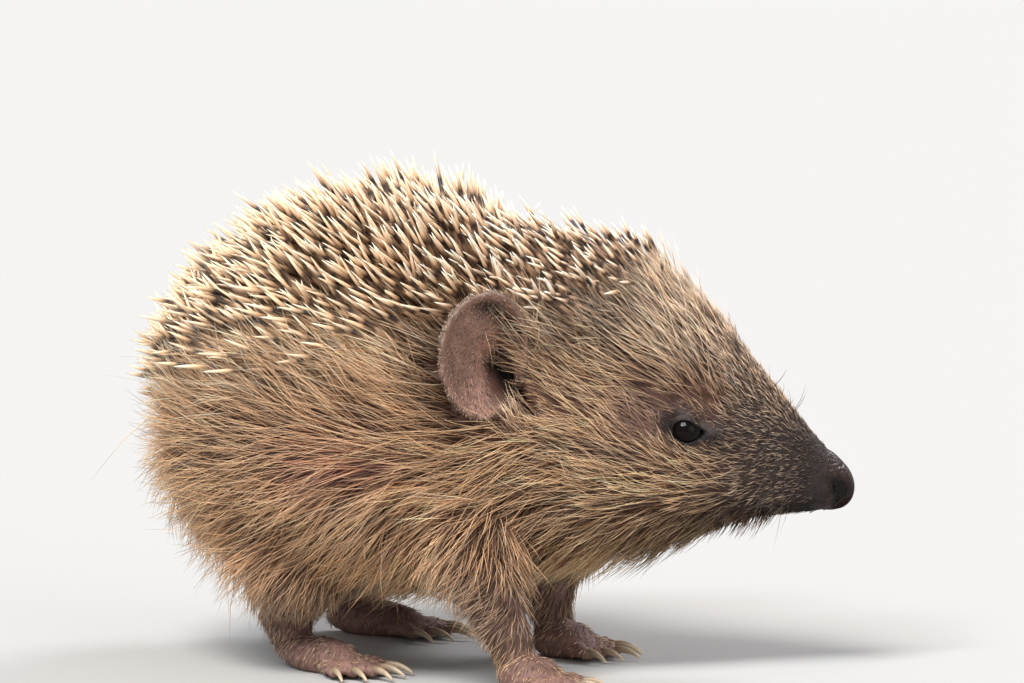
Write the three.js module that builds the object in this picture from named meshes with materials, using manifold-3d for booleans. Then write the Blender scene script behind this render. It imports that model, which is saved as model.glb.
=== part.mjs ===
// A young European hedgehog standing still, its head turned to its left, as a life-size display model.
// Millimetres, +Z up, the animal facing -Y with its left side at +X, and the floor at Z = 0.
// The solids give the outline out to the tips of the spines and the fur.
import * as THREE from "three";
import { mergeVertices } from "three/addons/utils/BufferGeometryUtils.js";
import Module from "manifold-3d";

// Driving dimensions
const BODY_LENGTH = 108; // along the midline, nose to rump
const NOSE_LENGTH = 4.6; // the bare nose pad
const SNOUT_LENGTH = 17;
const NECK_FROM = 60; // just behind the ears
const NECK_TO = 68;
const HEAD_TURN = THREE.MathUtils.degToRad(40); // to the animal's left
const RUMP_TURN = THREE.MathUtils.degToRad(-24);
const TURN_FROM = 34; // the midline bends between these two places
const TURN_TO = 94;
const TRUNK_MIDDLE = 70;
const NOSE_ROUND = 3.2; // length over which the nose rounds off
const RUMP_ROUND = 46; // and the rump
const SPINE_EDGE = 39; // height of the lower edge of the spines on the flanks
const GAP = 0.3; // between neighbouring solids

const EYE_RADIUS = 2.5;
const EYE_AT = { back: 24.1, out: 8.5, up: 35 };
const EAR_HEIGHT = 19;
const EAR_WIDTH = 14.4;
const EAR_DEPTH = 3.6; // of the cup
const EAR_THICKNESS = 1.1;
const EAR_OUTWARD = THREE.MathUtils.degToRad(62); // the way the cup faces, out from straight ahead
const EAR_TIP_BACK = THREE.MathUtils.degToRad(-8);
const EAR_AT = { back: 47.6, out: 21, up: 46.4 };
const MOUTH = { tip: 6.6, corner: 24, height: 24.4, rise: 0.06 };
const TAIL = { length: 15, root: 2.6, tip: 1.1 };

const FRONT_PAW = { length: 10.5, width: 9, height: 5.4, toe: 4.4, claw: 4 };
const HIND_PAW = { length: 17, width: 8, height: 5.2, toe: 5, claw: 4.6 };

const AROUND = 24; // points in a body section
const BODY_STEPS = 32;
const TOES = 5;

// Sections of the body: at is the distance behind the nose; top, wide and low are the heights above the
// floor of the back, the widest level and the underside; half is the half-width there.
const SECTIONS = [
  { at: 0, top: 28.6, wide: 26, low: 22.6, half: 3.9 },
  { at: 5, top: 32.2, wide: 26.1, low: 22.3, half: 4.7 },
  { at: 12, top: 41.8, wide: 26.7, low: 21.8, half: 6.3 },
  { at: 20, top: 53.4, wide: 28.3, low: 20.2, half: 9 },
  { at: 29, top: 61.9, wide: 30.1, low: 17.4, half: 12.8 },
  { at: 40, top: 66.2, wide: 31.9, low: 14.2, half: 17.2 },
  { at: 50, top: 68.3, wide: 32.9, low: 11.4, half: 22.4 },
  { at: 60, top: 70, wide: 33.1, low: 9.4, half: 29 },
  { at: 71, top: 71, wide: 33.5, low: 8, half: 33 },
  { at: 83, top: 70, wide: 34.2, low: 8, half: 33 },
  { at: 96, top: 67, wide: 34.6, low: 9.4, half: 31.4 },
  { at: BODY_LENGTH, top: 63, wide: 35, low: 11, half: 29 },
];

const wasm = await Module();
wasm.setup();

// A smooth curve of one measurement through the sections, as a function of the distance behind the nose.
function along(key) {
  const points = SECTIONS.map((section) => new THREE.Vector2(section.at, section[key]));
  const slopes = points.map((point, i) => {
    const before = points[Math.max(i - 1, 0)];
    const after = points[Math.min(i + 1, points.length - 1)];
    return (after.y - before.y) / (after.x - before.x);
  });
  return (at) => {
    let i = 0;
    while (i < points.length - 2 && at > points[i + 1].x) i++;
    const span = points[i + 1].x - points[i].x;
    const t = (at - points[i].x) / span;
    const rise = t * t * (3 - 2 * t);
    const first = t * (1 - t) * (1 - t) * slopes[i] * span;
    const last = t * t * (t - 1) * slopes[i + 1] * span;
    return points[i].y * (1 - rise) + points[i + 1].y * rise + first + last;
  };
}

const topAt = along("top");
const wideAt = along("wide");
const lowAt = along("low");
const halfAt = along("half");

// How far the section at this place has closed: 1 along the body, 0 at the nose tip and the rump's end.
function rounding(at) {
  const nose = THREE.MathUtils.clamp(1 - at / NOSE_ROUND, 0, 1);
  const rump = THREE.MathUtils.clamp(1 - (BODY_LENGTH - at) / RUMP_ROUND, 0, 1);
  return Math.sqrt(1 - nose * nose) * Math.pow(1 - Math.pow(rump, 2.1), 1 / 2.1);
}

const turnAt = (at) =>
  THREE.MathUtils.lerp(HEAD_TURN, RUMP_TURN, THREE.MathUtils.smoothstep(at, TURN_FROM, TURN_TO));

// The midline seen from above, walked in short steps from the nose.
const STEP = 0.5;
const midline = [new THREE.Vector2(0, 0)];
for (let at = 0; at < BODY_LENGTH; at += STEP) {
  const turn = turnAt(at + STEP / 2);
  midline.push(
    midline.at(-1).clone().add(new THREE.Vector2(-Math.sin(turn), Math.cos(turn)).multiplyScalar(STEP)),
  );
}

// A point given by its distance behind the nose, its distance out to the animal's left and its height.
function place(back, out, up) {
  const i = THREE.MathUtils.clamp(Math.floor(back / STEP), 0, midline.length - 2);
  const on = midline[i].clone().lerp(midline[i + 1], back / STEP - i);
  const turn = turnAt(back);
  return new THREE.Vector3(on.x + out * Math.cos(turn), on.y + out * Math.sin(turn), up);
}

// A point given by its distances in front of the trunk's middle, out to the animal's left, and its height.
function stand(forward, out, up) {
  const trunk = place(TRUNK_MIDDLE, 0, 0);
  return new THREE.Vector3(trunk.x + out, trunk.y - forward, up);
}

// A closed geometry over rings of points, each end closed by a fan round the middle of its ring.
function skinOver(rings) {
  const count = rings[0].length;
  const middle = (ring) =>
    ring.reduce((sum, point) => sum.add(point), new THREE.Vector3()).divideScalar(ring.length);
  const points = [...rings.flat(), middle(rings[0]), middle(rings.at(-1))];
  const first = rings.length * count;
  const faces = [];
  for (let i = 0; i < count; i++) {
    const next = (i + 1) % count;
    for (let r = 0; r < rings.length - 1; r++) {
      const [a, b] = [r * count + i, r * count + next];
      faces.push(a, b + count, b, a, a + count, b + count);
    }
    const last = (rings.length - 1) * count;
    faces.push(first, i, next, first + 1, last + next, last + i);
  }
  return new THREE.BufferGeometry().setFromPoints(points).setIndex(faces);
}

// A three.js geometry as a solid, turned right side out.
function solidOf(geometry) {
  const bare = geometry.clone();
  bare.deleteAttribute("normal");
  bare.deleteAttribute("uv");
  const merged = mergeVertices(bare, 1e-4);
  const vertProperties = new Float32Array(merged.attributes.position.array);
  const triVerts = new Uint32Array(merged.index.array);
  return new wasm.Manifold(new wasm.Mesh({ numProp: 3, vertProperties, triVerts }));
}

const joined = (solids) => solids.reduce((whole, solid) => whole.add(solid));

// One section of the body as a ring of points, grown outwards by grow.
function sectionRing(at, grow) {
  const close = rounding(at);
  const wide = wideAt(at);
  const half = halfAt(at) * close + grow;
  const above = (topAt(at) - wide) * close + grow;
  const below = (wide - lowAt(at)) * close + grow;
  return Array.from({ length: AROUND }, (_, i) => {
    const angle = (2 * Math.PI * i) / AROUND;
    const rise = Math.sin(angle);
    return place(at, half * Math.cos(angle), wide + (rise > 0 ? above : below) * rise);
  });
}

// The stretch of the body from one place to another, with flat ends across the midline.
function bodyStretch(from, to, grow = 0) {
  const tip = 0.12;
  const start = Math.max(from, tip);
  const end = Math.min(to, BODY_LENGTH - tip);
  const steps = Math.max(3, Math.round((BODY_STEPS * (end - start)) / BODY_LENGTH));
  const rings = Array.from({ length: steps + 1 }, (_, i) => {
    const share = i / steps;
    const roundsOff = to >= BODY_LENGTH ? Math.sin((share * Math.PI) / 2) : share;
    const eased = from <= 0 ? share * share : THREE.MathUtils.lerp(share, roundsOff, 0.7);
    return sectionRing(THREE.MathUtils.lerp(start, end, eased), grow);
  });
  return solidOf(skinOver(rings));
}

// A limb along a smooth path, its radius running through the given values, grown outwards by grow.
function limb(path, radii, grow = 0, sides = 12, steps = 8) {
  const curve = new THREE.CatmullRomCurve3(path);
  const radiusAt = (t) => {
    const x = t * (radii.length - 1);
    const i = Math.min(Math.floor(x), radii.length - 2);
    return THREE.MathUtils.lerp(radii[i], radii[i + 1], x - i) + grow;
  };
  const sideways = new THREE.Vector3(-1, 0, 0);
  const rings = Array.from({ length: steps + 1 }, (_, s) => {
    const t = s / steps;
    const tangent = curve.getTangent(t);
    const across = sideways.clone().addScaledVector(tangent, -sideways.dot(tangent)).normalize();
    const other = tangent.clone().cross(across);
    return Array.from({ length: sides }, (_, i) => {
      const angle = (2 * Math.PI * i) / sides;
      return curve
        .getPoint(t)
        .addScaledVector(across, -radiusAt(t) * Math.cos(angle))
        .addScaledVector(other, radiusAt(t) * Math.sin(angle));
    });
  });
  return solidOf(skinOver(rings));
}

// A ball stretched to half sizes along its own right, forward and up, turned to face a heading.
function blob(centre, halves, heading, grow = 0, detail = 12) {
  const geometry = new THREE.SphereGeometry(1, detail, Math.round(detail * 0.7));
  geometry.scale(...halves.map((half) => half + grow));
  geometry.rotateZ(heading);
  geometry.translate(centre.x, centre.y, centre.z);
  return solidOf(geometry);
}

function block(centre, size, heading = 0) {
  const geometry = new THREE.BoxGeometry(...size);
  geometry.rotateZ(heading);
  geometry.translate(centre.x, centre.y, centre.z);
  return solidOf(geometry);
}

// The space below the lips, from the lower jaw's tip to the corner of the mouth.
function jawSpace(grow) {
  const { tip, corner, height, rise } = MOUTH;
  const side = new THREE.Shape([
    new THREE.Vector2(tip - grow, 0),
    new THREE.Vector2(corner + grow, 0),
    new THREE.Vector2(corner + grow, height + rise * (corner - tip) + grow),
    new THREE.Vector2(tip - grow, height + grow),
  ]);
  const geometry = new THREE.ExtrudeGeometry(side, { depth: 60, bevelEnabled: false });
  geometry.translate(0, 0, -30);
  // The shape's x runs back along the head, its y runs up, and its depth runs across the head.
  const across = new THREE.Vector3(Math.cos(HEAD_TURN), Math.sin(HEAD_TURN), 0);
  const back = new THREE.Vector3(-Math.sin(HEAD_TURN), Math.cos(HEAD_TURN), 0);
  geometry.applyMatrix4(new THREE.Matrix4().makeBasis(back, new THREE.Vector3(0, 0, 1), across));
  return solidOf(geometry);
}

// Moves a shape from the ear's own frame (x across it, y out of its cup, z up) to the ear's place.
function toEar(geometry, side) {
  geometry.rotateX(EAR_TIP_BACK);
  geometry.rotateZ(Math.PI + turnAt(EAR_AT.back) + side * EAR_OUTWARD);
  const at = place(EAR_AT.back, side * EAR_AT.out, EAR_AT.up);
  geometry.translate(at.x, at.y, at.z);
  return solidOf(geometry);
}

// The outer ear: a cupped oval leaf, open outwards and forwards.
function ear(side) {
  const rings = 4;
  const points = 16;
  const leaf = (sign) =>
    Array.from({ length: rings }, (_, r) => {
      const share = (r + 1) / rings;
      return Array.from({ length: points }, (_, i) => {
        const angle = (2 * Math.PI * i) / points;
        return new THREE.Vector3(
          (EAR_WIDTH / 2) * share * Math.cos(angle),
          EAR_DEPTH * (share * share - 1) + (sign * EAR_THICKNESS) / 2,
          (EAR_HEIGHT / 2) * share * Math.sin(angle),
        );
      });
    });
  return toEar(skinOver([...leaf(-1), ...leaf(1).reverse()]), side);
}

// The hollow in the side of the head in which the ear sits.
function earHollow(side) {
  const geometry = new THREE.SphereGeometry(1, 16, 10);
  const margin = GAP + 0.4;
  geometry.scale(
    EAR_WIDTH / 2 + margin,
    EAR_DEPTH + EAR_THICKNESS / 2 + margin,
    EAR_HEIGHT / 2 + margin,
  );
  return toEar(geometry, side);
}

// A paw: a pad under the foot and five toes fanned out in front of it, flat where it meets the floor.
function paw(size, at, heading, grow = 0) {
  const forward = new THREE.Vector3(Math.sin(heading), -Math.cos(heading), 0);
  const right = new THREE.Vector3(Math.cos(heading), Math.sin(heading), 0);
  const pad = blob(
    at.clone().setZ(size.height * 0.42),
    [size.width * 0.46, size.length / 2, size.height * 0.58],
    heading,
    grow,
    12,
  );
  const toes = toePlaces(size, at, forward, right).map(({ root, tip, direction }) =>
    limb(
      [root, root.clone().lerp(tip, 0.5).add(new THREE.Vector3(0, 0, 0.5)), tip],
      [1.0, 1.25, 0.75],
      grow,
      6,
      3,
    ),
  );
  const above = block(new THREE.Vector3(at.x, at.y, 50 - grow), [100, 100, 100]);
  return joined([pad, ...toes]).intersect(above);
}

// Where each toe starts and ends, and the way it points.
function toePlaces(size, at, forward, right) {
  return Array.from({ length: TOES }, (_, i) => {
    const spread = i / (TOES - 1) - 0.5; // from the left toe to the right one
    const direction = forward.clone().addScaledVector(right, spread * 0.9).normalize();
    const reach = size.length / 2 - 1.6 - Math.abs(spread) * size.length * 0.16;
    const root = at
      .clone()
      .addScaledVector(forward, reach)
      .addScaledVector(right, spread * size.width * 0.78)
      .setZ(1.15);
    const length = size.toe * (1 - 0.5 * Math.abs(spread));
    return { root, tip: root.clone().addScaledVector(direction, length).setZ(1.05), direction };
  });
}

// A claw grows from a toe's tip, arching forwards and down, and ends just clear of the floor.
function claw(size, { tip, direction }) {
  const start = tip.clone().addScaledVector(direction, GAP + 0.05);
  const point = (forward, up) => start.clone().addScaledVector(direction, forward * size.claw).setZ(up);
  return limb([point(0, 1.25), point(0.5, 1.35), point(1, 0.6)], [0.62, 0.52, 0.3], 0, 6, 3);
}

// Each leg's path from inside the trunk to the paw, then the middle of its paw, as distances in front of
// the middle of the trunk and out to the animal's left (and the height).
const LEGS = {
  front_right: {
    size: FRONT_PAW,
    path: [[24, -9, 27], [27, -12, 18], [33.5, -12.5, 10], [36.2, -12.5, 3.6]],
    radii: [8.4, 6.4, 4.2, 3.2],
    foot: [38.5, -12.5],
    splay: 4,
  },
  front_left: {
    size: FRONT_PAW,
    path: [[20, 16, 27], [18, 18.5, 18], [17, 18, 10], [18, 17.5, 3.6]],
    radii: [8.4, 6.4, 4.2, 3.2],
    foot: [20, 17.5],
    splay: 16,
  },
  hind_right: {
    size: HIND_PAW,
    path: [[-6, -12, 27], [-1, -16, 17], [-4, -15.5, 8.4], [-3.5, -15.5, 3.8]],
    radii: [13, 9.6, 4.8, 3.2],
    foot: [2.5, -16],
    splay: -10,
  },
  hind_left: {
    size: HIND_PAW,
    path: [[-10, 14, 27], [-10, 18, 17], [-19.5, 17, 8.4], [-21, 16.5, 3.8]],
    radii: [13, 9.6, 4.8, 3.2],
    foot: [-16, 17.5],
    splay: 12,
  },
};

const fur = new THREE.MeshStandardMaterial({ color: 0x8a6f54, roughness: 0.9 });
const spines = new THREE.MeshStandardMaterial({ color: 0x9a8468, roughness: 0.7 });
const darkSkin = new THREE.MeshStandardMaterial({ color: 0x4a3d38, roughness: 0.75 });
const wetBlack = new THREE.MeshStandardMaterial({ color: 0x0c0a0b, roughness: 0.12 });
const horn = new THREE.MeshStandardMaterial({ color: 0x5b463a, roughness: 0.4 });
const pads = new THREE.MeshStandardMaterial({ color: 0x7d6159, roughness: 0.8 });

const hedgehog = new THREE.Group();

// A solid as a named mesh of the part.
function add(name, solid, material) {
  const made = solid.getMesh();
  const points = new Float32Array(made.numVert * 3);
  for (let i = 0; i < made.numVert; i++) {
    points.set(made.vertProperties.subarray(i * made.numProp, i * made.numProp + 3), i * 3);
  }
  const geometry = new THREE.BufferGeometry()
    .setAttribute("position", new THREE.BufferAttribute(points, 3))
    .setIndex(new THREE.BufferAttribute(made.triVerts, 1));
  const mesh = new THREE.Mesh(geometry, material);
  mesh.name = name;
  hedgehog.add(mesh);
}

const half = GAP / 2;
const eyeBall = (side, grow) =>
  blob(place(EYE_AT.back, side * EYE_AT.out, EYE_AT.up), [EYE_RADIUS, EYE_RADIUS, EYE_RADIUS], 0, grow, 14);

// Nose, snout, lower jaw and head
add("nose", bodyStretch(0, NOSE_LENGTH - half), wetBlack);
const muzzle = bodyStretch(NOSE_LENGTH + half, SNOUT_LENGTH - half);
add("snout", muzzle.subtract(jawSpace(GAP)), fur);
const face = bodyStretch(NOSE_LENGTH + half, NECK_FROM - half);
add("lower_jaw", face.intersect(jawSpace(0)), fur);
const skull = bodyStretch(SNOUT_LENGTH + half, NECK_FROM - half).subtract(jawSpace(GAP));
const hollows = joined([-1, 1].flatMap((side) => [eyeBall(side, GAP), earHollow(side)]));
add("head", skull.subtract(hollows), fur);

// Eyes and ears
const wholeBody = bodyStretch(0, BODY_LENGTH, GAP);
for (const [side, name] of [[-1, "right"], [1, "left"]]) {
  add(`eye_${name}`, eyeBall(side, 0), wetBlack);
  add(`ear_${name}`, ear(side).subtract(wholeBody.subtract(earHollow(side))), darkSkin);
}

// Neck, and the trunk parted along the lower edge of the spines
add("neck", bodyStretch(NECK_FROM + half, NECK_TO - half).subtract(hollows), fur);
const trunk = bodyStretch(NECK_TO + half, BODY_LENGTH);
const under = block(new THREE.Vector3(0, 0, SPINE_EDGE - 100), [400, 400, 200]);
const over = block(new THREE.Vector3(0, 0, SPINE_EDGE + GAP + 100), [400, 400, 200]);
add("back", trunk.intersect(over), spines);
add("belly", trunk.intersect(under), fur);

// Tail, hanging from under the rump
const tailRoot = place(BODY_LENGTH - 17, 0, 20);
const tailEnd = place(BODY_LENGTH - 4, 0, 8);
const tail = limb(
  [tailRoot, tailRoot.clone().lerp(tailEnd, 0.5).add(new THREE.Vector3(0, 1.2, 0.6)), tailEnd],
  [TAIL.root, TAIL.root * 0.85, TAIL.tip],
  0,
  10,
  6,
);
add("tail", tail.subtract(wholeBody), fur);

// Legs, paws and claws
for (const [name, leg] of Object.entries(LEGS)) {
  const at = stand(...leg.foot, 0);
  const heading = THREE.MathUtils.degToRad(leg.splay);
  const shank = limb(
    leg.path.map((point) => stand(...point)),
    leg.radii,
  );
  add(`${name}_leg`, shank.subtract(wholeBody).subtract(paw(leg.size, at, heading, GAP)), fur);
  add(`${name}_paw`, paw(leg.size, at, heading), pads);
  const forward = new THREE.Vector3(Math.sin(heading), -Math.cos(heading), 0);
  const right = new THREE.Vector3(Math.cos(heading), Math.sin(heading), 0);
  toePlaces(leg.size, at, forward, right).forEach((toe, i) => {
    add(`claw_${name}_${i + 1}`, claw(leg.size, toe), horn);
  });
}

// The origin is on the floor under the middle of the whole model.
const bounds = new THREE.Box3().setFromObject(hedgehog);
const middle = bounds.getCenter(new THREE.Vector3());
hedgehog.children.forEach((mesh) => mesh.position.set(-middle.x, -middle.y, -bounds.min.z));

export default hedgehog;
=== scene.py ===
"""A young European hedgehog as a life-size display model: one skin over its body, eyes, claws, spines
and hair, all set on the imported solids' frame. Lengths are in millimetres until a mesh is made."""
import math
import bmesh
import bpy
import numpy as np
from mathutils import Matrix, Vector
from mathutils.bvhtree import BVHTree


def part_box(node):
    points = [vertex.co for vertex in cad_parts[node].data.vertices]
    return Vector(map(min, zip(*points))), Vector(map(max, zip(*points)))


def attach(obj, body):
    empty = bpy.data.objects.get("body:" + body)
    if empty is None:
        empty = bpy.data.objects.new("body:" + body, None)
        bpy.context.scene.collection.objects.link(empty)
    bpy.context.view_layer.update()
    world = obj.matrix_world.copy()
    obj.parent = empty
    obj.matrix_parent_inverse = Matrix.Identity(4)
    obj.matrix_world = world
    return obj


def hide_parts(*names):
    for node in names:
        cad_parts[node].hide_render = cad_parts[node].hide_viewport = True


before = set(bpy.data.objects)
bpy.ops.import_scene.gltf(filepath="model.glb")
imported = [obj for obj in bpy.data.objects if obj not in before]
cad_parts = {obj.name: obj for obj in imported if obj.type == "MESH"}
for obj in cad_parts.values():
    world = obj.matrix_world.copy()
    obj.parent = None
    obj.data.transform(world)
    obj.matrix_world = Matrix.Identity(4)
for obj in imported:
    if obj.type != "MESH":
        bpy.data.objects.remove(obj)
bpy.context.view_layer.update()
MM = 0.001

# The midline of the body, as the solids have it
LENGTH = 108.0
HEAD_TURN = math.radians(40)
RUMP_TURN = math.radians(-24)
TURN_FROM, TURN_TO = 34.0, 94.0
TRUNK_MIDDLE = 70.0

EYE_AT = (24.1, 8.5, 35.0)  # behind the nose, out to the side, above the floor
EYE_RADIUS = 2.5
CORNEA = (0.16, 0.14)  # how far it bulges, and its width as a share of the eyeball's radius
EAR_AT = (48.8, 20.8, 46.8)
EAR_HALF = (7.0, 9.3)  # half its width and its height
EAR_CUP = 3.4  # depth
EAR_OUTWARD = math.radians(62)
EAR_TIP_BACK = math.radians(-8)

# Sections of the skin: distance behind the nose, height of the back, of the widest level and of the
# underside, half-width
SKIN_LENGTH = 102.5
SKIN_ROUND = (3.2, 40.0)  # length over which the nose and the rump round off
SKIN_SECTIONS = np.array([
    (0.0, 29.1, 26.0, 22.7, 3.7),
    (5.0, 32.9, 26.1, 22.6, 4.4),
    (12.0, 41.5, 26.7, 22.1, 5.8),
    (20.0, 50.6, 28.3, 20.9, 8.5),
    (29.0, 57.2, 30.1, 18.8, 11.4),
    (40.0, 59.0, 31.4, 16.4, 14.4),
    (50.0, 59.0, 31.6, 14.4, 18.8),
    (60.0, 60.8, 31.8, 13.0, 24.6),
    (71.0, 62.0, 32.2, 12.0, 27.8),
    (83.0, 61.2, 32.4, 12.0, 27.8),
    (SKIN_LENGTH, 57.4, 32.6, 13.6, 25.5),
])

# Paths are in front of the trunk's middle, out to the left, and above the floor; splay is in degrees
LEGS = {
    "front_right": dict(
        path=[(23, -7.5, 27), (27.5, -10.8, 18), (33.5, -12.5, 10), (36.2, -12.5, 3.6)],
        radii=(6.4, 4.8, 3.2, 2.5), foot=(38.5, -12.5), splay=4, hind=False),
    "front_left": dict(
        path=[(20, 16, 27), (18, 18.5, 18), (17, 18, 10), (18, 17.5, 3.6)],
        radii=(7.0, 5.2, 3.2, 2.5), foot=(20, 17.5), splay=16, hind=False),
    "hind_right": dict(
        path=[(-6, -12, 27), (-1, -16, 17), (-4, -15.5, 8.4), (-3.5, -15.5, 3.8)],
        radii=(11.0, 8.0, 3.9, 2.7), foot=(2.5, -16), splay=-10, hind=True),
    "hind_left": dict(
        path=[(-10, 14, 27), (-10, 18, 17), (-19.5, 17, 8.4), (-21, 16.5, 3.8)],
        radii=(11.0, 8.0, 3.9, 2.7), foot=(-16, 17.5), splay=12, hind=True),
}
FRONT_PAW = dict(length=10.5, width=9.0, height=5.4, toe=4.4, claw=4.0)
HIND_PAW = dict(length=17.0, width=8.0, height=5.2, toe=5.0, claw=4.6)
TOES = 5

VOXEL = 0.65  # cells of the skin's remesh
BODY, FRONT_LEG, HIND_LEG, PAW, EAR, TAIL = range(6)


# ---------------------------------------------------------------- small maths

def rgb(red, green, blue):
    """An sRGB colour of 0 to 255 as linear red, green and blue."""
    c = np.array([red, green, blue]) / 255.0
    return np.where(c <= 0.04045, c / 12.92, ((c + 0.055) / 1.055) ** 2.4)


def smooth(low, high, x):
    """An eased rise from 0 where x is low to 1 where it is high."""
    t = np.clip((x - low) / (high - low), 0.0, 1.0)
    return t * t * (3 - 2 * t)


def bell(*terms):
    """1 where each term's value is at its middle, fading over its width."""
    return np.exp(-sum(((value - middle) / width) ** 2 for value, middle, width in terms))


def mix(a, b, t):
    return a + (b - a) * t


def tint(colours, other, amount):
    return mix(colours, other, amount[:, None])


def unit(v):
    return v / np.maximum(np.linalg.norm(v, axis=-1, keepdims=True), 1e-12)


def around(count):
    """The angles of points round a circle."""
    return np.linspace(0, 2 * math.pi, count, endpoint=False)


def hermite(table, column):
    """A smooth curve of one column of the sections over the first column."""
    x, y = table[:, 0], table[:, column]
    before = np.r_[0, np.arange(len(x) - 1)]
    after = np.r_[np.arange(1, len(x)), len(x) - 1]
    slope = (y[after] - y[before]) / (x[after] - x[before])

    def curve(at):
        at = np.clip(np.asarray(at, float), x[0], x[-1])
        i = np.clip(np.searchsorted(x, at, side="right") - 1, 0, len(x) - 2)
        span = x[i + 1] - x[i]
        t = (at - x[i]) / span
        rise = t * t * (3 - 2 * t)
        first = t * (1 - t) ** 2 * slope[i] * span
        last = t * t * (t - 1) * slope[i + 1] * span
        return y[i] * (1 - rise) + y[i + 1] * rise + first + last

    return curve


def wobble(points, size, seed):
    """Soft noise from -1 to 1 with bumps about this many millimetres across."""
    rng = np.random.default_rng(seed)
    total = np.zeros(len(points))
    for _ in range(6):
        wave = unit(rng.normal(size=3)) * 2 * math.pi / (size * rng.uniform(1.4, 3.0))
        total += np.sin(points @ wave + rng.uniform(0, 2 * math.pi))
    return total / 3.2


# ---------------------------------------------------------------- the body's own coordinates

LINE_STEP = 0.25
LINE_S = np.arange(-12.0, LENGTH + 24.0, LINE_STEP)
BATCH = 8000  # points located at a time, to spare memory


def turn_at(s):
    return mix(HEAD_TURN, RUMP_TURN, smooth(TURN_FROM, TURN_TO, np.asarray(s, float)))


def walk_midline():
    """The midline's points, with the nose's tip at zero."""
    turn = turn_at(LINE_S + LINE_STEP / 2)
    x = np.r_[0, np.cumsum(-np.sin(turn))[:-1]] * LINE_STEP
    y = np.r_[0, np.cumsum(np.cos(turn))[:-1]] * LINE_STEP
    return x - np.interp(0, LINE_S, x), y - np.interp(0, LINE_S, y)


LINE_X, LINE_Y = walk_midline()


def place(s, out, up):
    """The point at this distance behind the nose, out to the animal's left, and height."""
    turn = turn_at(s)
    x = np.interp(s, LINE_S, LINE_X) + out * np.cos(turn)
    y = np.interp(s, LINE_S, LINE_Y) + out * np.sin(turn)
    return np.stack(np.broadcast_arrays(x, y, np.asarray(up, float)), axis=-1)


def find_offset():
    """Where the nose's tip lies in the frame, from the right eye's solid."""
    low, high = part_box("eye_right")
    middle = (np.array(low) + np.array(high))[:2] / 2 / MM
    return middle - place(EYE_AT[0], -EYE_AT[1], EYE_AT[2])[:2]


OFFSET = find_offset()
LINE_X, LINE_Y = LINE_X + OFFSET[0], LINE_Y + OFFSET[1]


def offsets(points, s):
    """How far points lie from the midline at s, backward and out to the left."""
    turn = turn_at(s)
    dx = points[:, 0] - np.interp(s, LINE_S, LINE_X)
    dy = points[:, 1] - np.interp(s, LINE_S, LINE_Y)
    return -dx * np.sin(turn) + dy * np.cos(turn), dx * np.cos(turn) + dy * np.sin(turn)


def locate(points):
    """Distance behind the nose, out to the left, and height, of points in the frame."""
    s = np.empty(len(points))
    for i in range(0, len(points), BATCH):
        part = points[i:i + BATCH]
        gap = (part[:, :1] - LINE_X) ** 2 + (part[:, 1:2] - LINE_Y) ** 2
        s[i:i + BATCH] = LINE_S[np.argmin(gap, axis=1)]
    for _ in range(3):
        s = np.clip(s + 0.6 * offsets(points, s)[0], LINE_S[0], LINE_S[-1])
    return s, offsets(points, s)[1], points[:, 2]


def backward(s):
    """The horizontal direction away from the nose."""
    turn = turn_at(s)
    return np.stack([-np.sin(turn), np.cos(turn), np.zeros_like(turn)], axis=-1)


def sideways(s):
    """The horizontal direction out to the animal's left."""
    return np.cross(backward(s), [0.0, 0.0, 1.0])


def stand(forward, out, up):
    """A point by its distances in front of the trunk's middle and out to the left, and its height."""
    trunk = place(TRUNK_MIDDLE, 0.0, 0.0)
    return np.array([trunk[0] + out, trunk[1] - forward, up])


top_at, wide_at, low_at, half_at = (hermite(SKIN_SECTIONS, column) for column in range(1, 5))


def rounding(s):
    """How much the body closes towards its ends, 1 where it is whole."""
    nose = np.clip(1 - s / SKIN_ROUND[0], 0, 1)
    rump = np.clip(1 - (SKIN_LENGTH - s) / SKIN_ROUND[1], 0, 1)
    return np.sqrt(1 - nose ** 2) * (1 - rump ** 2.1) ** (1 / 2.1)


def section(s, above, close):
    """The body's half-width, and its reach above or below its widest level."""
    height = np.where(above, top_at(s) - wide_at(s), wide_at(s) - low_at(s))
    return half_at(s) * close, height * close


def body_angle(s, out, up):
    """The angle round a body section, from the left side up over the back."""
    close = np.maximum(rounding(np.clip(s, 0.02, SKIN_LENGTH - 0.02)), 0.02)
    rise = up - wide_at(s)
    width, height = section(s, rise > 0, close)
    return np.arctan2(rise / height, out / width)


class Spots:
    """Points on the skin with the body's coordinates there, phi being degrees above the widest level."""

    def __init__(self, points, normals, labels):
        self.points, self.normals, self.labels = points, normals, labels
        self.s, self.out, self.up = locate(points)
        self.angle = body_angle(self.s, self.out, self.up)
        self.phi = np.degrees(np.arcsin(np.sin(self.angle)))

    def take(self, keep):
        part = object.__new__(Spots)
        for name, value in self.__dict__.items():
            setattr(part, name, value[keep])
        return part

    def flow(self, down, swing):
        """The way the coat lies: backward along the skin, running down or up as it goes."""
        fall = np.broadcast_to(down, self.s.shape)[:, None] * np.array([0, 0, -1.0])
        flat = backward(self.s) + fall
        flat -= self.normals * (flat * self.normals).sum(axis=1, keepdims=True)
        weak = smooth(0.7, 0.2, np.linalg.norm(flat, axis=1))[:, None]
        fallback = np.array([0, 0, -1.0]) + self.normals * self.normals[:, 2:3]
        flat = unit(flat + weak * fallback)
        lateral = np.cross(self.normals, flat)
        swing = swing[:, None]
        flat = flat * np.cos(swing) + lateral * np.sin(swing)
        return flat, np.cross(self.normals, flat)


def is_leg(labels):
    return (labels == FRONT_LEG) | (labels == HIND_LEG)


# ---------------------------------------------------------------- closed shapes the skin grows from

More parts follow.
